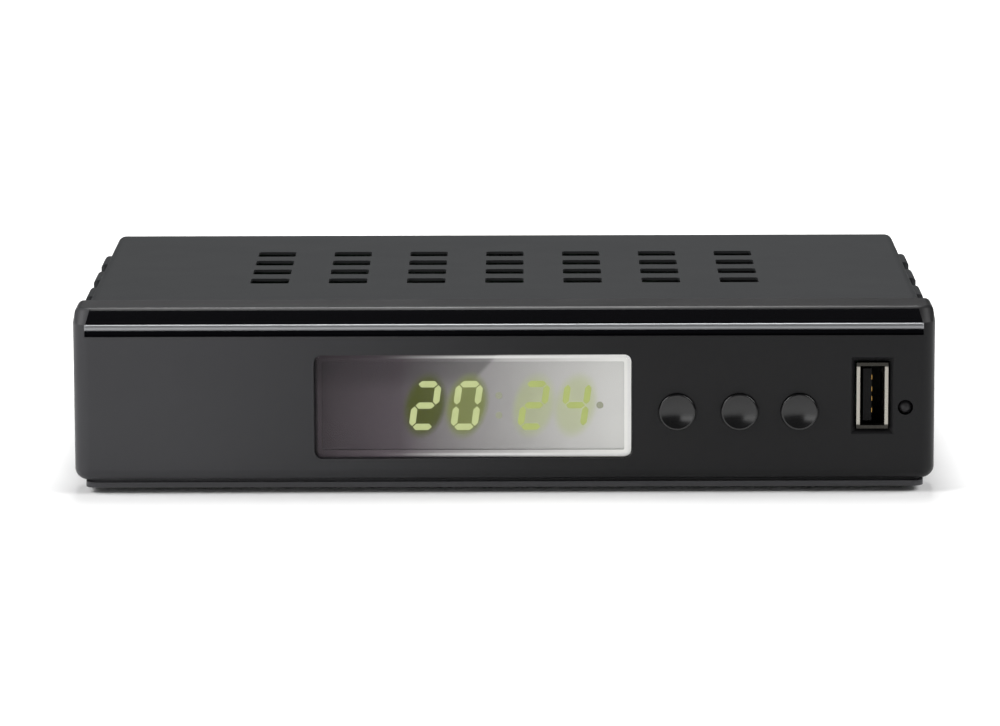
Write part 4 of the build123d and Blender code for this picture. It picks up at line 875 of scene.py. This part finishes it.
def hex_nut(origin, axes, flats, thickness, bore):
    """Hexagonal nut with chamfered corners and a chamfered bore."""
    corner = flats / math.sqrt(3)
    chamfer, mouth = 0.45, 0.25

    def side(far, limit):
        def row(turn):
            aside = turn % (math.pi / 3) - math.pi / 6
            return min(flats / 2 / math.cos(aside), limit), far

        return row

    low_rim, high_rim = side(0, flats / 2 - 0.1), side(thickness, flats / 2 - 0.1)
    walls = [low_rim, side(chamfer, corner), side(thickness - chamfer, corner), high_rim]
    hole = [ring(bore + mouth, thickness), ring(bore, thickness - mouth), ring(bore, mouth)]
    return turned(origin, axes, walls + hole + [ring(bore + mouth, 0)], 72, closed=True)


def threaded_barrel(origin, settings, shoulder, reach):
    """Aerial socket: flange, neck, threaded barrel with a chamfered mouth, and its bore."""
    radius, neck, flange, bore, mouth = 4.76, 4.46, 5.8, 3.3, 0.25
    depth, pitch = settings.thread_depth / MM, settings.thread_pitch / MM
    rows = [ring(bore, 0), ring(flange - 0.1, 0), ring(flange, 0.1), ring(flange, 0.9), ring(flange - 0.1, 1)]
    rows += [ring(neck, 1), ring(neck, shoulder - 0.05)]
    rows += thread_rows(radius, depth, pitch, shoulder, reach - 0.5, per_turn=8)
    rows += [ring(radius - 0.5, reach - 0.35), ring(radius - 0.8, reach)]
    rows += [ring(bore + mouth, reach), ring(bore, reach - mouth)]
    return turned(origin, BACKWARD, rows, 72, closed=True)


def capacitor_can(low, high):
    """Sleeved can with a crimped ring near its foot and a vented top, and each face's material."""
    origin = Vector(((low.x + high.x) / 2, (low.y + high.y) / 2, low.z))
    radius, height = (high.x - low.x) / 2, high.z - low.z
    steps, top_rings = 64, 12
    top, vent_depth = height - 0.18, 0.12
    # How far each point of the sleeve is inside the radius, and its height.
    sleeve = [(0.3, 0.0), (0.05, 0.15), (0.0, 1.1), (0.12, 1.3), (0.3, 1.6), (0.12, 1.9), (0.0, 2.1)]
    sleeve += [(0.0, height - 0.45), (0.15, height - 0.12), (0.45, height)]
    sleeve += [(0.65, height - 0.02), (0.75, top)]
    rows = [ring(radius - inset, level) for inset, level in sleeve]
    for k in range(top_rings):
        reach = (radius - 0.8) * (1 - k / top_rings)

        def row(turn, reach=reach):
            near = min(abs(reach * math.cos(turn)), abs(reach * math.sin(turn)))
            groove = clamp((0.22 - near) / 0.1) * clamp((radius - 1.2 - reach) / 0.2)
            return reach, top - vent_depth * groove

        rows.append(row)
    shape = turned(origin, UPWARD, rows, steps)
    # Materials by their places in the list: 0 is the sleeve, 1 the bare top and 2 the stripe.
    stripe = range(steps * 5 // 12, steps * 7 // 12)
    indices = []
    for band in range(len(rows) - 1):
        on_sleeve = band < len(sleeve) - 2
        indices += [(2 if k in stripe else 0) if on_sleeve else 1 for k in range(steps)]
    return shape, indices + [0, 1]


def wing_lead(x, y, z, out, wide):
    """Bent lead of a chip: out of its side, down, and flat on the board at (x, y, z)."""
    profile = [(0, 0.62), (0.42, 0.62), (0.62, 0.14), (1.0, 0.14), (1.0, 0), (0.52, 0), (0.34, 0.5), (0, 0.5)]
    return plate([(x + out * u, z + v) for u, v in profile], y - wide / 2, y + wide / 2)


# --- The clock's own sizes ---
DIGIT_MIDDLES = (-16.5, -7.8, 6.2, 14.9)
DIGIT_SIZE = (5.7, 10.4)
STROKE = 1.35
SEGMENT_GAP = 0.18
SLANT = math.radians(8)
COLON_X = -1.1
COLON_SPREAD = 4.2
DOT_X = 20.0
DOT_RADIUS = 0.75
PROUD = 0.08  # lit segments stand this far in front of the others
SEGMENTS_LIT = {
    "2": "low_bar mid_bar top_bar right_top left_low",
    "0": "low_bar top_bar left_low left_top right_low right_top",
    "4": "mid_bar left_top right_low right_top",
}


def segments():
    """The seven bars of one digit about its middle, before it is slanted."""
    bar = STROKE / 2
    across, up = DIGIT_SIZE[0] / 2 - bar, DIGIT_SIZE[1] / 2 - bar
    flat, tall = across - SEGMENT_GAP, up / 2 - SEGMENT_GAP
    lying = [(-flat, 0), (bar - flat, bar), (flat - bar, bar)]
    lying += [(flat, 0), (flat - bar, -bar), (bar - flat, -bar)]
    standing = [(0, -tall), (-bar, bar - tall), (-bar, tall - bar)]
    standing += [(0, tall), (bar, tall - bar), (bar, bar - tall)]
    bars = {}
    for name, level in (("low_bar", -up), ("mid_bar", 0.0), ("top_bar", up)):
        bars[name] = [(x, z + level) for x, z in lying]
    for side, x_side in (("left", -across), ("right", across)):
        for part, level in (("low", -up / 2), ("top", up / 2)):
            bars[f"{side}_{part}"] = [(x + x_side, z + level) for x, z in standing]
    return bars


# --- Operators, one for each piece or group of like pieces ---
class RECEIVER_OT_front_panel(bpy.types.Operator):
    """Finishes the moulded front panel: satin face with painted light and shade, gloss brow, bright bead and
    groove painted black as shade
    """

    bl_idname = "receiver.front_panel"
    bl_label = "Front panel"

    def execute(self, context):
        settings = context.scene.receiver_panel
        finish("front_panel", satin_moulded_abs(settings), settings.edge / MM)
        return {"FINISHED"}


class RECEIVER_OT_buttons(bpy.types.Operator):
    """Finishes the three dished push buttons"""

    bl_idname = "receiver.buttons"
    bl_label = "Buttons"

    def execute(self, context):
        # ABS from a fine mould: deep black, with a soft highlight that the dish turns over.
        black = grained(
            "semi_gloss_abs",
            context.scene.receiver_panel.button,
            roughness=0.24,
            grain=0.35,
            depth=0.002,
            drift=0.05,
            ior=1.53,
            specular_ior_level=0.45,
        )
        finish("standby_button channel_down_button channel_up_button", black)
        return {"FINISHED"}


class RECEIVER_OT_window(bpy.types.Operator):
    """Finishes the pane, and lays the mirror film with its painted reflection on its back and in the opening
    behind it
    """

    bl_idname = "receiver.window"
    bl_label = "Display window"

    def execute(self, context):
        finish("display_window", polished_smoked_acrylic())
        film = graded_mirror_film(context.scene.receiver_window)
        centre = (WINDOW_LOW + WINDOW_HIGH) / 2
        size = WINDOW_HIGH - WINDOW_LOW
        wide, tall = size.x - FILM_GAP, size.z - FILM_GAP
        outer = rounded(centre.x, centre.z, wide, tall, 1.55)
        sight = rounded(centre.x, centre.z, wide - 2 * SIGHT_LEDGE, tall - 2 * SIGHT_LEDGE, 0.3)
        back = WINDOW_HIGH.y
        border = frame_plate(outer, sight, back - 0.03, back)
        build("window_border_film", border, [film])
        # The inner sheet lies between the fronts of the lit segments and of the others.
        segment_front = span("display_segments")[0].y
        sheet = plate(sight, segment_front - 0.06, segment_front - 0.02)
        build("window_film", sheet, [film])
        return {"FINISHED"}


class RECEIVER_OT_clock(bpy.types.Operator):
    """Builds the clock's lit, dim and unlit segments in place of the display's light windows"""

    bl_idname = "receiver.clock"
    bl_label = "Clock"

    def execute(self, context):
        settings = context.scene.receiver_window
        level = (WINDOW_LOW.z + WINDOW_HIGH.z) / 2
        low, high = span("display_segments")
        front = low.y - PROUD
        shapes = {"lit": [], "dim": [], "faint": [], "unlit": []}
        for centre, digit in zip(DIGIT_MIDDLES, "2024"):
            for name, outline in segments().items():
                points = [(centre + x + z * math.tan(SLANT), level + z) for x, z in outline]
                on = name in SEGMENTS_LIT[digit].split()
                kind = ("lit" if centre < 0 else "dim") if on else "unlit"
                shapes[kind].append(plate(points, front if on else low.y, high.y))
        for x, z in ((COLON_X, COLON_SPREAD / 2), (COLON_X, -COLON_SPREAD / 2), (DOT_X, 0.0)):
            shapes["faint"].append(plate(disc(x, level + z, DOT_RADIUS), front, high.y))
        # Resin over a diode that is off is a dull grey green.
        resins = {
            "lit": glowing_resin("lit_segment_epoxy", settings.lit, 1.0),
            "dim": glowing_resin("dim_segment_epoxy", settings.dim, 0.95),
            "faint": glowing_resin("faint_segment_epoxy", settings.faint, 0.85),
            "unlit": grained("unlit_segment_epoxy", settings.unlit, roughness=0.35, grain=0.3, depth=0.003),
        }
        for kind, resin in resins.items():
            name = f"clock_{kind}_segments"
            build(name, gather(shapes[kind]), [resin], replaces=("display_segments",))
        # Poured epoxy: wet black round the segments.
        potting = grained(
            "glossy_potting_epoxy", linear("#0b0b0c"), roughness=0.2, grain=0.6, depth=0.004, ior=1.55
        )
        finish("display_module", potting, radius=0.15)
        return {"FINISHED"}


class RECEIVER_OT_case(bpy.types.Operator):
    """Finishes the folded cover and the chassis"""

    bl_idname = "receiver.case"
    bl_label = "Cover and chassis"

    def execute(self, context):
        settings = context.scene.receiver_case
        finish("top_cover", powder_coated_steel(settings), settings.edge / MM)
        finish("chassis", zinc_plated_sheet(settings), settings.edge / MM)
        return {"FINISHED"}


class RECEIVER_OT_feet(bpy.types.Operator):
    """Finishes the four rubber feet"""

    bl_idname = "receiver.feet"
    bl_label = "Feet"

    def execute(self, context):
        # Nitrile rubber from a plain mould: dark and matt, with a dull sheen at a low angle.
        rubber = grained(
            "moulded_nitrile_rubber",
            context.scene.receiver_case.rubber,
            roughness=0.78,
            grain=0.4,
            depth=0.012,
            ior=1.52,
            specular_ior_level=0.35,
        )
        finish("rubber_feet", rubber)
        return {"FINISHED"}


class RECEIVER_OT_screws(bpy.types.Operator):
    """Builds the cross recess screws of the cover, the main board and the front board"""

    bl_idname = "receiver.screws"
    bl_label = "Screws"

    def execute(self, context):
        settings = context.scene.receiver_case
        pitch = settings.thread_pitch / MM
        head_radius, head_height, shank_radius = 2.7, 1.6, 1.4
        # Black zinc is a dark metal with a soft shine. Yellow zinc is brighter and straw coloured.
        black = plated("black_zinc_plate", settings.screw, roughness=0.3)
        bright = plated("yellow_zinc_plate", linear("#b3a783"), roughness=0.28)
        for node, axes, metal in (
            ("cover_screws", BACKWARD, black),
            ("front_board_screws", BACKWARD, bright),
            ("board_screws", UPWARD, bright),
        ):
            shapes = []
            for low, high in solids(node):
                origin = (low + high) / 2
                axis = axes[2]
                under_head = high.dot(axis) - head_height
                origin += axis * (under_head - origin.dot(axis))
                shank = under_head - low.dot(axis)
                shapes.append(cross_screw(origin, axes, head_radius, head_height, shank_radius, shank, pitch))
            build(node + "_threaded", gather(shapes), [metal], replaces=(node,), sharp=50)
        return {"FINISHED"}


class RECEIVER_OT_indicator(bpy.types.Operator):
    """Finishes the indicator lamp, its leads and the remote control sensor"""

    bl_idname = "receiver.indicator"
    bl_label = "Indicator and sensor"

    def execute(self, context):
        # Smoky resin: almost as dark as the face, with a broad weak shine.
        smoky = grained(
            "smoky_resin",
            context.scene.receiver_panel.lamp,
            roughness=0.45,
            grain=0.5,
            depth=0.002,
            ior=1.54,
            specular_ior_level=0.25,
        )
        finish("indicator_led", smoky)
        # Epoxy that lets only infrared through: black with a touch of violet, and glossy.
        sensor = grained(
            "infrared_epoxy", linear("#141016"), roughness=0.12, grain=0.8, depth=0.001, ior=1.55
        )
        finish("ir_receiver", sensor, radius=0.15)
        # Tinned wire: pale, a little cloudy.
        tin = plated("tinned_copper_wire", context.scene.receiver_boards.tin, roughness=0.32)
        finish("indicator_leads dc_jack_pin", tin, radius=0.05)
        return {"FINISHED"}


class RECEIVER_OT_front_socket(bpy.types.Operator):
    """Finishes the upright data socket in the face"""

    bl_idname = "receiver.front_socket"
    bl_label = "Front data socket"

    def execute(self, context):
        settings = context.scene.receiver_sockets
        finish("usb_shell", rolled_nickel(settings), radius=0.06)
        # Liquid crystal polymer: black and matt, and painted at half the sockets' moulded black as shade, so
        # that the mouth reads as a dark hole.
        black = grained(
            "moulded_lcp",
            shade(settings.moulded, 0.5),
            roughness=0.6,
            grain=0.25,
            depth=0.006,
            specular_ior_level=0.15,
        )
        finish("usb_insulator", black, radius=0.1)
        # A flash of gold: thin, smooth and yellow.
        finish("usb_contacts", plated("gold_flash", settings.gold, roughness=0.2), radius=0.04)
        return {"FINISHED"}


class RECEIVER_OT_aerial_sockets(bpy.types.Operator):
    """Builds the threaded barrels and nuts of the aerial sockets, and finishes their other pieces"""

    bl_idname = "receiver.aerial_sockets"
    bl_label = "Aerial sockets"

    def execute(self, context):
        settings = context.scene.receiver_sockets
        # Bright nickel: warm silver, and the thread's crests catch the light.
        nickel = plated("bright_nickel_plate", settings.nickel, roughness=0.18)
        nuts = solids("f_nuts")
        for node in ("lnb_in_connector", "loop_out_connector"):
            low, high = span(node)
            origin = Vector(((low.x + high.x) / 2, low.y, (low.z + high.z) / 2))
            shape = threaded_barrel(origin, settings, nuts[0][1].y - low.y, high.y - low.y)
            build(node + "_threaded", shape, [nickel], replaces=(node,), sharp=50)
        shapes = []
        nut_bore = 4.8125
        for low, high in nuts:
            origin = Vector(((low.x + high.x) / 2, low.y, (low.z + high.z) / 2))
            shapes.append(hex_nut(origin, BACKWARD, high.z - low.z, high.y - low.y, nut_bore))
        build("f_nuts_chamfered", gather(shapes), [nickel], replaces=("f_nuts",), sharp=25)
        # Zinc is greyer and duller than nickel. Polythene is milky and waxy.
        zinc = plated("zinc_plated_washer", linear("#a9aba9"), roughness=0.34)
        finish("f_washers", zinc, radius=0.06)
        milky = grained("moulded_polythene", settings.polythene, roughness=0.42, grain=0.3, depth=0.004)
        finish("f_insulators", milky, radius=0.12)
        finish("f_contacts", plated("gold_flash_contact", settings.gold, roughness=0.2), radius=0.04)
        return {"FINISHED"}


class RECEIVER_OT_sound_sockets(bpy.types.Operator):
    """Finishes the four round sound and video sockets and the block that carries them"""

    bl_idname = "receiver.sound_sockets"
    bl_label = "Sound and video sockets"

    def execute(self, context):
        settings = context.scene.receiver_sockets
        # Drawn nickel sleeves are smooth and warm. PBT moulds satin black.
        finish("rca_shells", plated("drawn_nickel_plate", settings.nickel, roughness=0.2), radius=0.1)
        black = grained(
            "moulded_pbt_block", settings.moulded, roughness=0.45, grain=0.25, depth=0.008, ior=1.55
        )
        finish("rca_housing", black, radius=0.2)
        # Dyed ABS: one clear colour with a soft gloss.
        for name in ("orange", "yellow", "white", "red"):
            core = grained(
                f"moulded_{name}_abs",
                getattr(settings, name),
                roughness=0.32,
                grain=0.4,
                depth=0.003,
                drift=0.04,
                ior=1.53,
            )
            finish("rca_insert_" + name, core, radius=0.15)
        return {"FINISHED"}


class RECEIVER_OT_rear_sockets(bpy.types.Operator):
    """Finishes the network, digital video and power sockets"""

    bl_idname = "receiver.rear_sockets"
    bl_label = "Network, video and power sockets"

    def execute(self, context):
        settings = context.scene.receiver_sockets
        # Stamped shells are a little duller than turned nickel. PBT moulds satin black.
        nickel = plated("stamped_nickel_plate", settings.nickel, roughness=0.26)
        finish("hdmi_shell ethernet_shield", nickel, radius=0.08)
        black = grained("moulded_pbt", settings.moulded, roughness=0.45, grain=0.25, depth=0.008, ior=1.55)
        finish("hdmi_tongue ethernet_housing dc_jack_housing", black, radius=0.08)
        finish("ethernet_contacts", plated("gold_flash_wire", settings.gold, roughness=0.2), radius=0.04)
        return {"FINISHED"}


class RECEIVER_OT_boards(bpy.types.Operator):
    """Finishes the main board, the front board and the standoffs"""

    bl_idname = "receiver.boards"
    bl_label = "Boards"

    def execute(self, context):
        settings = context.scene.receiver_boards
        # The main board is flat across Z, and the front board across Y.
        finish("main_board", lacquered_board(settings, 2, "lacquered_main_board"), radius=0.08)
        finish("front_board", lacquered_board(settings, 1, "lacquered_front_board"), radius=0.08)
        # Turned brass: yellow, with a soft shine.
        finish("board_standoffs", plated("turned_brass", settings.brass, roughness=0.26), radius=0.12)
        return {"FINISHED"}


class RECEIVER_OT_chips(bpy.types.Operator):
    """Finishes the chips, coils and small components, and builds the chips' leads"""

    bl_idname = "receiver.chips"
    bl_label = "Chips and small components"

    def execute(self, context):
        settings = context.scene.receiver_boards
        # Moulding compound is near black and matt. Ferrite is greyer and rougher.
        epoxy = grained(
            "moulded_chip_epoxy", settings.epoxy, roughness=0.52, grain=0.15, depth=0.004, ior=1.55
        )
        finish("main_chip memory_chips regulator_chips", epoxy, radius=0.15)
        ferrite = grained("sintered_ferrite", linear("#3c3d40"), roughness=0.6, grain=0.3, depth=0.012)
        finish("power_inductors", ferrite, radius=0.2)
        # Silicone: soft, blue grey and dull.
        silicone = grained(
            "silicone_pad", linear("#8d97a3"), roughness=0.7, grain=0.5, depth=0.01, specular_ior_level=0.3
        )
        finish("thermal_pad", silicone, radius=0.1)
        # Black anodising keeps a little of the metal's shine. A drawn can is smooth and pale.
        anodised = grained(
            "black_anodised_aluminium",
            linear("#2a2b2e"),
            roughness=0.38,
            grain=0.3,
            depth=0.006,
            metallic=0.7,
        )
        finish("heatsink", anodised, radius=0.1)
        finish("crystal_can", plated("drawn_nickel_can", linear("#c2c1bb"), roughness=0.24), radius=0.25)
        finish("chip_capacitors", capped_ceramic(settings), radius=0.06)
        self.make_leads(settings)
        return {"FINISHED"}

    def make_leads(self, settings):
        """Rows of bent leads along both long sides of the memory chips and the regulators."""
        tin = plated("tinned_chip_leads", settings.tin, roughness=0.3)
        rooted = 0.05  # each lead starts this far inside the chip
        for node, name, pitch, wide in (
            ("memory_chips", "memory_leads", settings.lead_pitch / MM, 0.35),
            ("regulator_chips", "regulator_leads", 1.7, 0.8),
        ):
            leads = []
            for low, high in solids(node):
                count = int((high.y - low.y - wide) / pitch) + 1
                first = (low.y + high.y - (count - 1) * pitch) / 2
                for k in range(count):
                    for x, out in ((low.x + rooted, -1), (high.x - rooted, 1)):
                        leads.append(wing_lead(x, first + k * pitch, low.z, out, wide))
            build(name, gather(leads), [tin], sharp=50)


class RECEIVER_OT_capacitors(bpy.types.Operator):
    """Builds the sleeved electrolytic capacitors"""

    bl_idname = "receiver.capacitors"
    bl_label = "Capacitors"

    def execute(self, context):
        settings = context.scene.receiver_boards
        # Shrunk PVC is smooth with a soft gloss, its printed stripe a little duller, and the top is bare.
        materials = [
            grained("shrunk_pvc_sleeve", settings.sleeve, roughness=0.3, grain=0.6, depth=0.003, ior=1.53),
            plated("stamped_aluminium", settings.aluminium, roughness=0.35),
            grained("printed_pvc_stripe", settings.stripe, roughness=0.35, grain=0.6, depth=0.003, ior=1.53),
        ]
        shapes, indices = [], []
        for low, high in solids("electrolytic_capacitors"):
            shape, places = capacitor_can(low, high)
            shapes.append(shape)
            indices += places
        build(
            "capacitor_cans",
            gather(shapes),
            materials,
            replaces=("electrolytic_capacitors",),
            indices=indices,
        )
        return {"FINISHED"}


class RECEIVER_OT_switches(bpy.types.Operator):
    """Finishes the push switches behind the buttons"""

    bl_idname = "receiver.switches"
    bl_label = "Switches"

    def execute(self, context):
        # Nylon moulds satin black. The covers are bright rolled steel.
        black = grained("moulded_pa66", linear("#18181a"), roughness=0.42, grain=0.25, depth=0.006, ior=1.53)
        finish("switch_bodies standby_plunger channel_down_plunger channel_up_plunger", black, radius=0.1)
        steel = plated("bright_steel_cover", linear("#babbb9"), roughness=0.25)
        finish("switch_covers", steel, radius=0.04)
        return {"FINISHED"}


class RECEIVER_OT_ribbon(bpy.types.Operator):
    """Finishes the flat cable between the boards and its plugs"""

    bl_idname = "receiver.ribbon"
    bl_label = "Flat cable"

    def execute(self, context):
        finish("ribbon_cable", ribbed_pvc())
        # Undyed nylon: warm white and satin.
        white = grained("moulded_pa66_plug", linear("#c9c6ba"), roughness=0.45, grain=0.3, depth=0.006)
        finish("ribbon_connectors", white, radius=0.2)
        return {"FINISHED"}


class RECEIVER_OT_tuner(bpy.types.Operator):
    """Finishes the screened tuner"""

    bl_idname = "receiver.tuner"
    bl_label = "Tuner"

    def execute(self, context):
        settings = context.scene.receiver_boards
        # Hot dipped tin: pale and cloudy, with patches of 4 mm.
        tin = plated("hot_dipped_tinplate", settings.tin, roughness=0.3, patch=4.0)
        finish("tuner_frame tuner_lid", tin, radius=0.1)
        finish("tuner_board", lacquered_board(settings, 2, "lacquered_tuner_board"), radius=0.06)
        return {"FINISHED"}


class RECEIVER_OT_stage(bpy.types.Operator):
    """Makes the paper floor, the softboxes and the camera"""

    bl_idname = "receiver.stage"
    bl_label = "Floor, lights and camera"

    def execute(self, context):
        settings = context.scene.receiver_stage
        self.make_floor(settings)
        self.make_lights()
        self.make_camera(settings)
        return {"FINISHED"}

    def make_floor(self, settings):
        """Paper that reaches past the view."""
        half = 6.0
        corners = [(-half, -half, 0), (half, -half, 0), (half, half, 0), (-half, half, 0)]
        mesh = bpy.data.meshes.new("floor")
        mesh.from_pydata(corners, [], [(0, 1, 2, 3)])
        mesh.materials.append(surface("matt_paper", base_color=list(settings.floor), roughness=0.9))
        floor = bpy.data.objects.new("floor", mesh)
        bpy.context.scene.collection.objects.link(floor)

    def make_lights(self):
        """Grey room, a long softbox overhead at the back, one at each side, and two cards on the left."""
        world = bpy.data.worlds.new("studio")
        world.use_nodes = True
        room = 0.12
        world.node_tree.nodes["Background"].inputs[0].default_value = (room, room, room, 1)
        bpy.context.scene.world = world
        # Where each light is and what it looks at, its width and height, all in metres, and its watts.
        for name, place, aim, width, height, power in (
            ("back softbox", (0, 0.75, 1.05), (0, 0.749, 0), 0.35, 1.3, 15.0),
            ("left softbox", (-1.0, -0.25, 0.9), (0, 0, 0), 0.8, 0.8, 13.5),
            ("right softbox", (1.0, -0.25, 0.9), (0, 0, 0), 0.8, 0.8, 12.5),
            ("front card", (-0.3, -0.64, 0.1), (-0.06, -0.06, 0.02), 0.5, 0.18, 0.7),
            ("side card", (-0.4, -0.3, 0.12), (-0.09, -0.06, 0.02), 0.15, 0.2, 0.14),
        ):
            light = bpy.data.lights.new(name, "AREA")
            light.shape = "RECTANGLE"
            light.size = width
            light.size_y = height
            light.energy = power
            lamp = bpy.data.objects.new(name, light)
            lamp.location = place
            lamp.rotation_euler = (Vector(aim) - Vector(place)).to_track_quat("-Z", "Y").to_euler()
            lamp.visible_camera = False
            bpy.context.scene.collection.objects.link(lamp)

    def make_camera(self, settings):
        """Long lens, a little above the receiver."""
        lens = bpy.data.cameras.new("camera")
        lens.lens = settings.lens
        lens.sensor_width = 36.0
        lens.clip_end = 50.0
        camera = bpy.data.objects.new("camera", lens)
        target = Vector((-0.83, PANEL_LOW.y, 27.93)) * MM
        level = math.cos(settings.elevation)
        turn = settings.turn
        forward = Vector((-math.sin(turn) * level, math.cos(turn) * level, -math.sin(settings.elevation)))
        camera.location = target - forward * settings.distance
        lean = Quaternion((0, 0, 1), settings.roll)
        camera.rotation_euler = (forward.to_track_quat("-Z", "Y") @ lean).to_euler()
        bpy.context.scene.collection.objects.link(camera)
        bpy.context.scene.camera = camera
        bpy.context.scene.view_settings.view_transform = "Standard"


OPERATORS = (
    RECEIVER_OT_front_panel,
    RECEIVER_OT_buttons,
    RECEIVER_OT_window,
    RECEIVER_OT_clock,
    RECEIVER_OT_case,
    RECEIVER_OT_feet,
    RECEIVER_OT_screws,
    RECEIVER_OT_indicator,
    RECEIVER_OT_front_socket,
    RECEIVER_OT_aerial_sockets,
    RECEIVER_OT_sound_sockets,
    RECEIVER_OT_rear_sockets,
    RECEIVER_OT_boards,
    RECEIVER_OT_chips,
    RECEIVER_OT_capacitors,
    RECEIVER_OT_switches,
    RECEIVER_OT_ribbon,
    RECEIVER_OT_tuner,
    RECEIVER_OT_stage,
)


class RECEIVER_PT_pieces(bpy.types.Panel):
    """Lists the settings and the pieces"""

    bl_idname = "RECEIVER_PT_pieces"
    bl_label = "Satellite receiver"
    bl_space_type = "VIEW_3D"
    bl_region_type = "UI"
    bl_category = "Receiver"

    def draw(self, context):
        for key, group in GROUPS.items():
            box = self.layout.box()
            box.label(text=group.__doc__)
            for name in group.__annotations__:
                box.prop(getattr(context.scene, "receiver_" + key), name)
        for operator in OPERATORS:
            self.layout.operator(operator.bl_idname)


def register():
    """Registers the settings, the operators and the panel."""
    for key, group in GROUPS.items():
        bpy.utils.register_class(group)
        setattr(bpy.types.Scene, "receiver_" + key, bpy.props.PointerProperty(type=group))
    for item in OPERATORS + (RECEIVER_PT_pieces,):
        bpy.utils.register_class(item)


def unregister():
    """Takes the panel, the operators and the settings out again."""
    for item in reversed(OPERATORS + (RECEIVER_PT_pieces,)):
        bpy.utils.unregister_class(item)
    for key, group in reversed(GROUPS.items()):
        delattr(bpy.types.Scene, "receiver_" + key)
        bpy.utils.unregister_class(group)


def main():
    """Builds every piece in order."""
    register()
    for operator in OPERATORS:
        getattr(bpy.ops.receiver, operator.bl_idname.split(".")[1])()


if __name__ == "__main__":
    main()
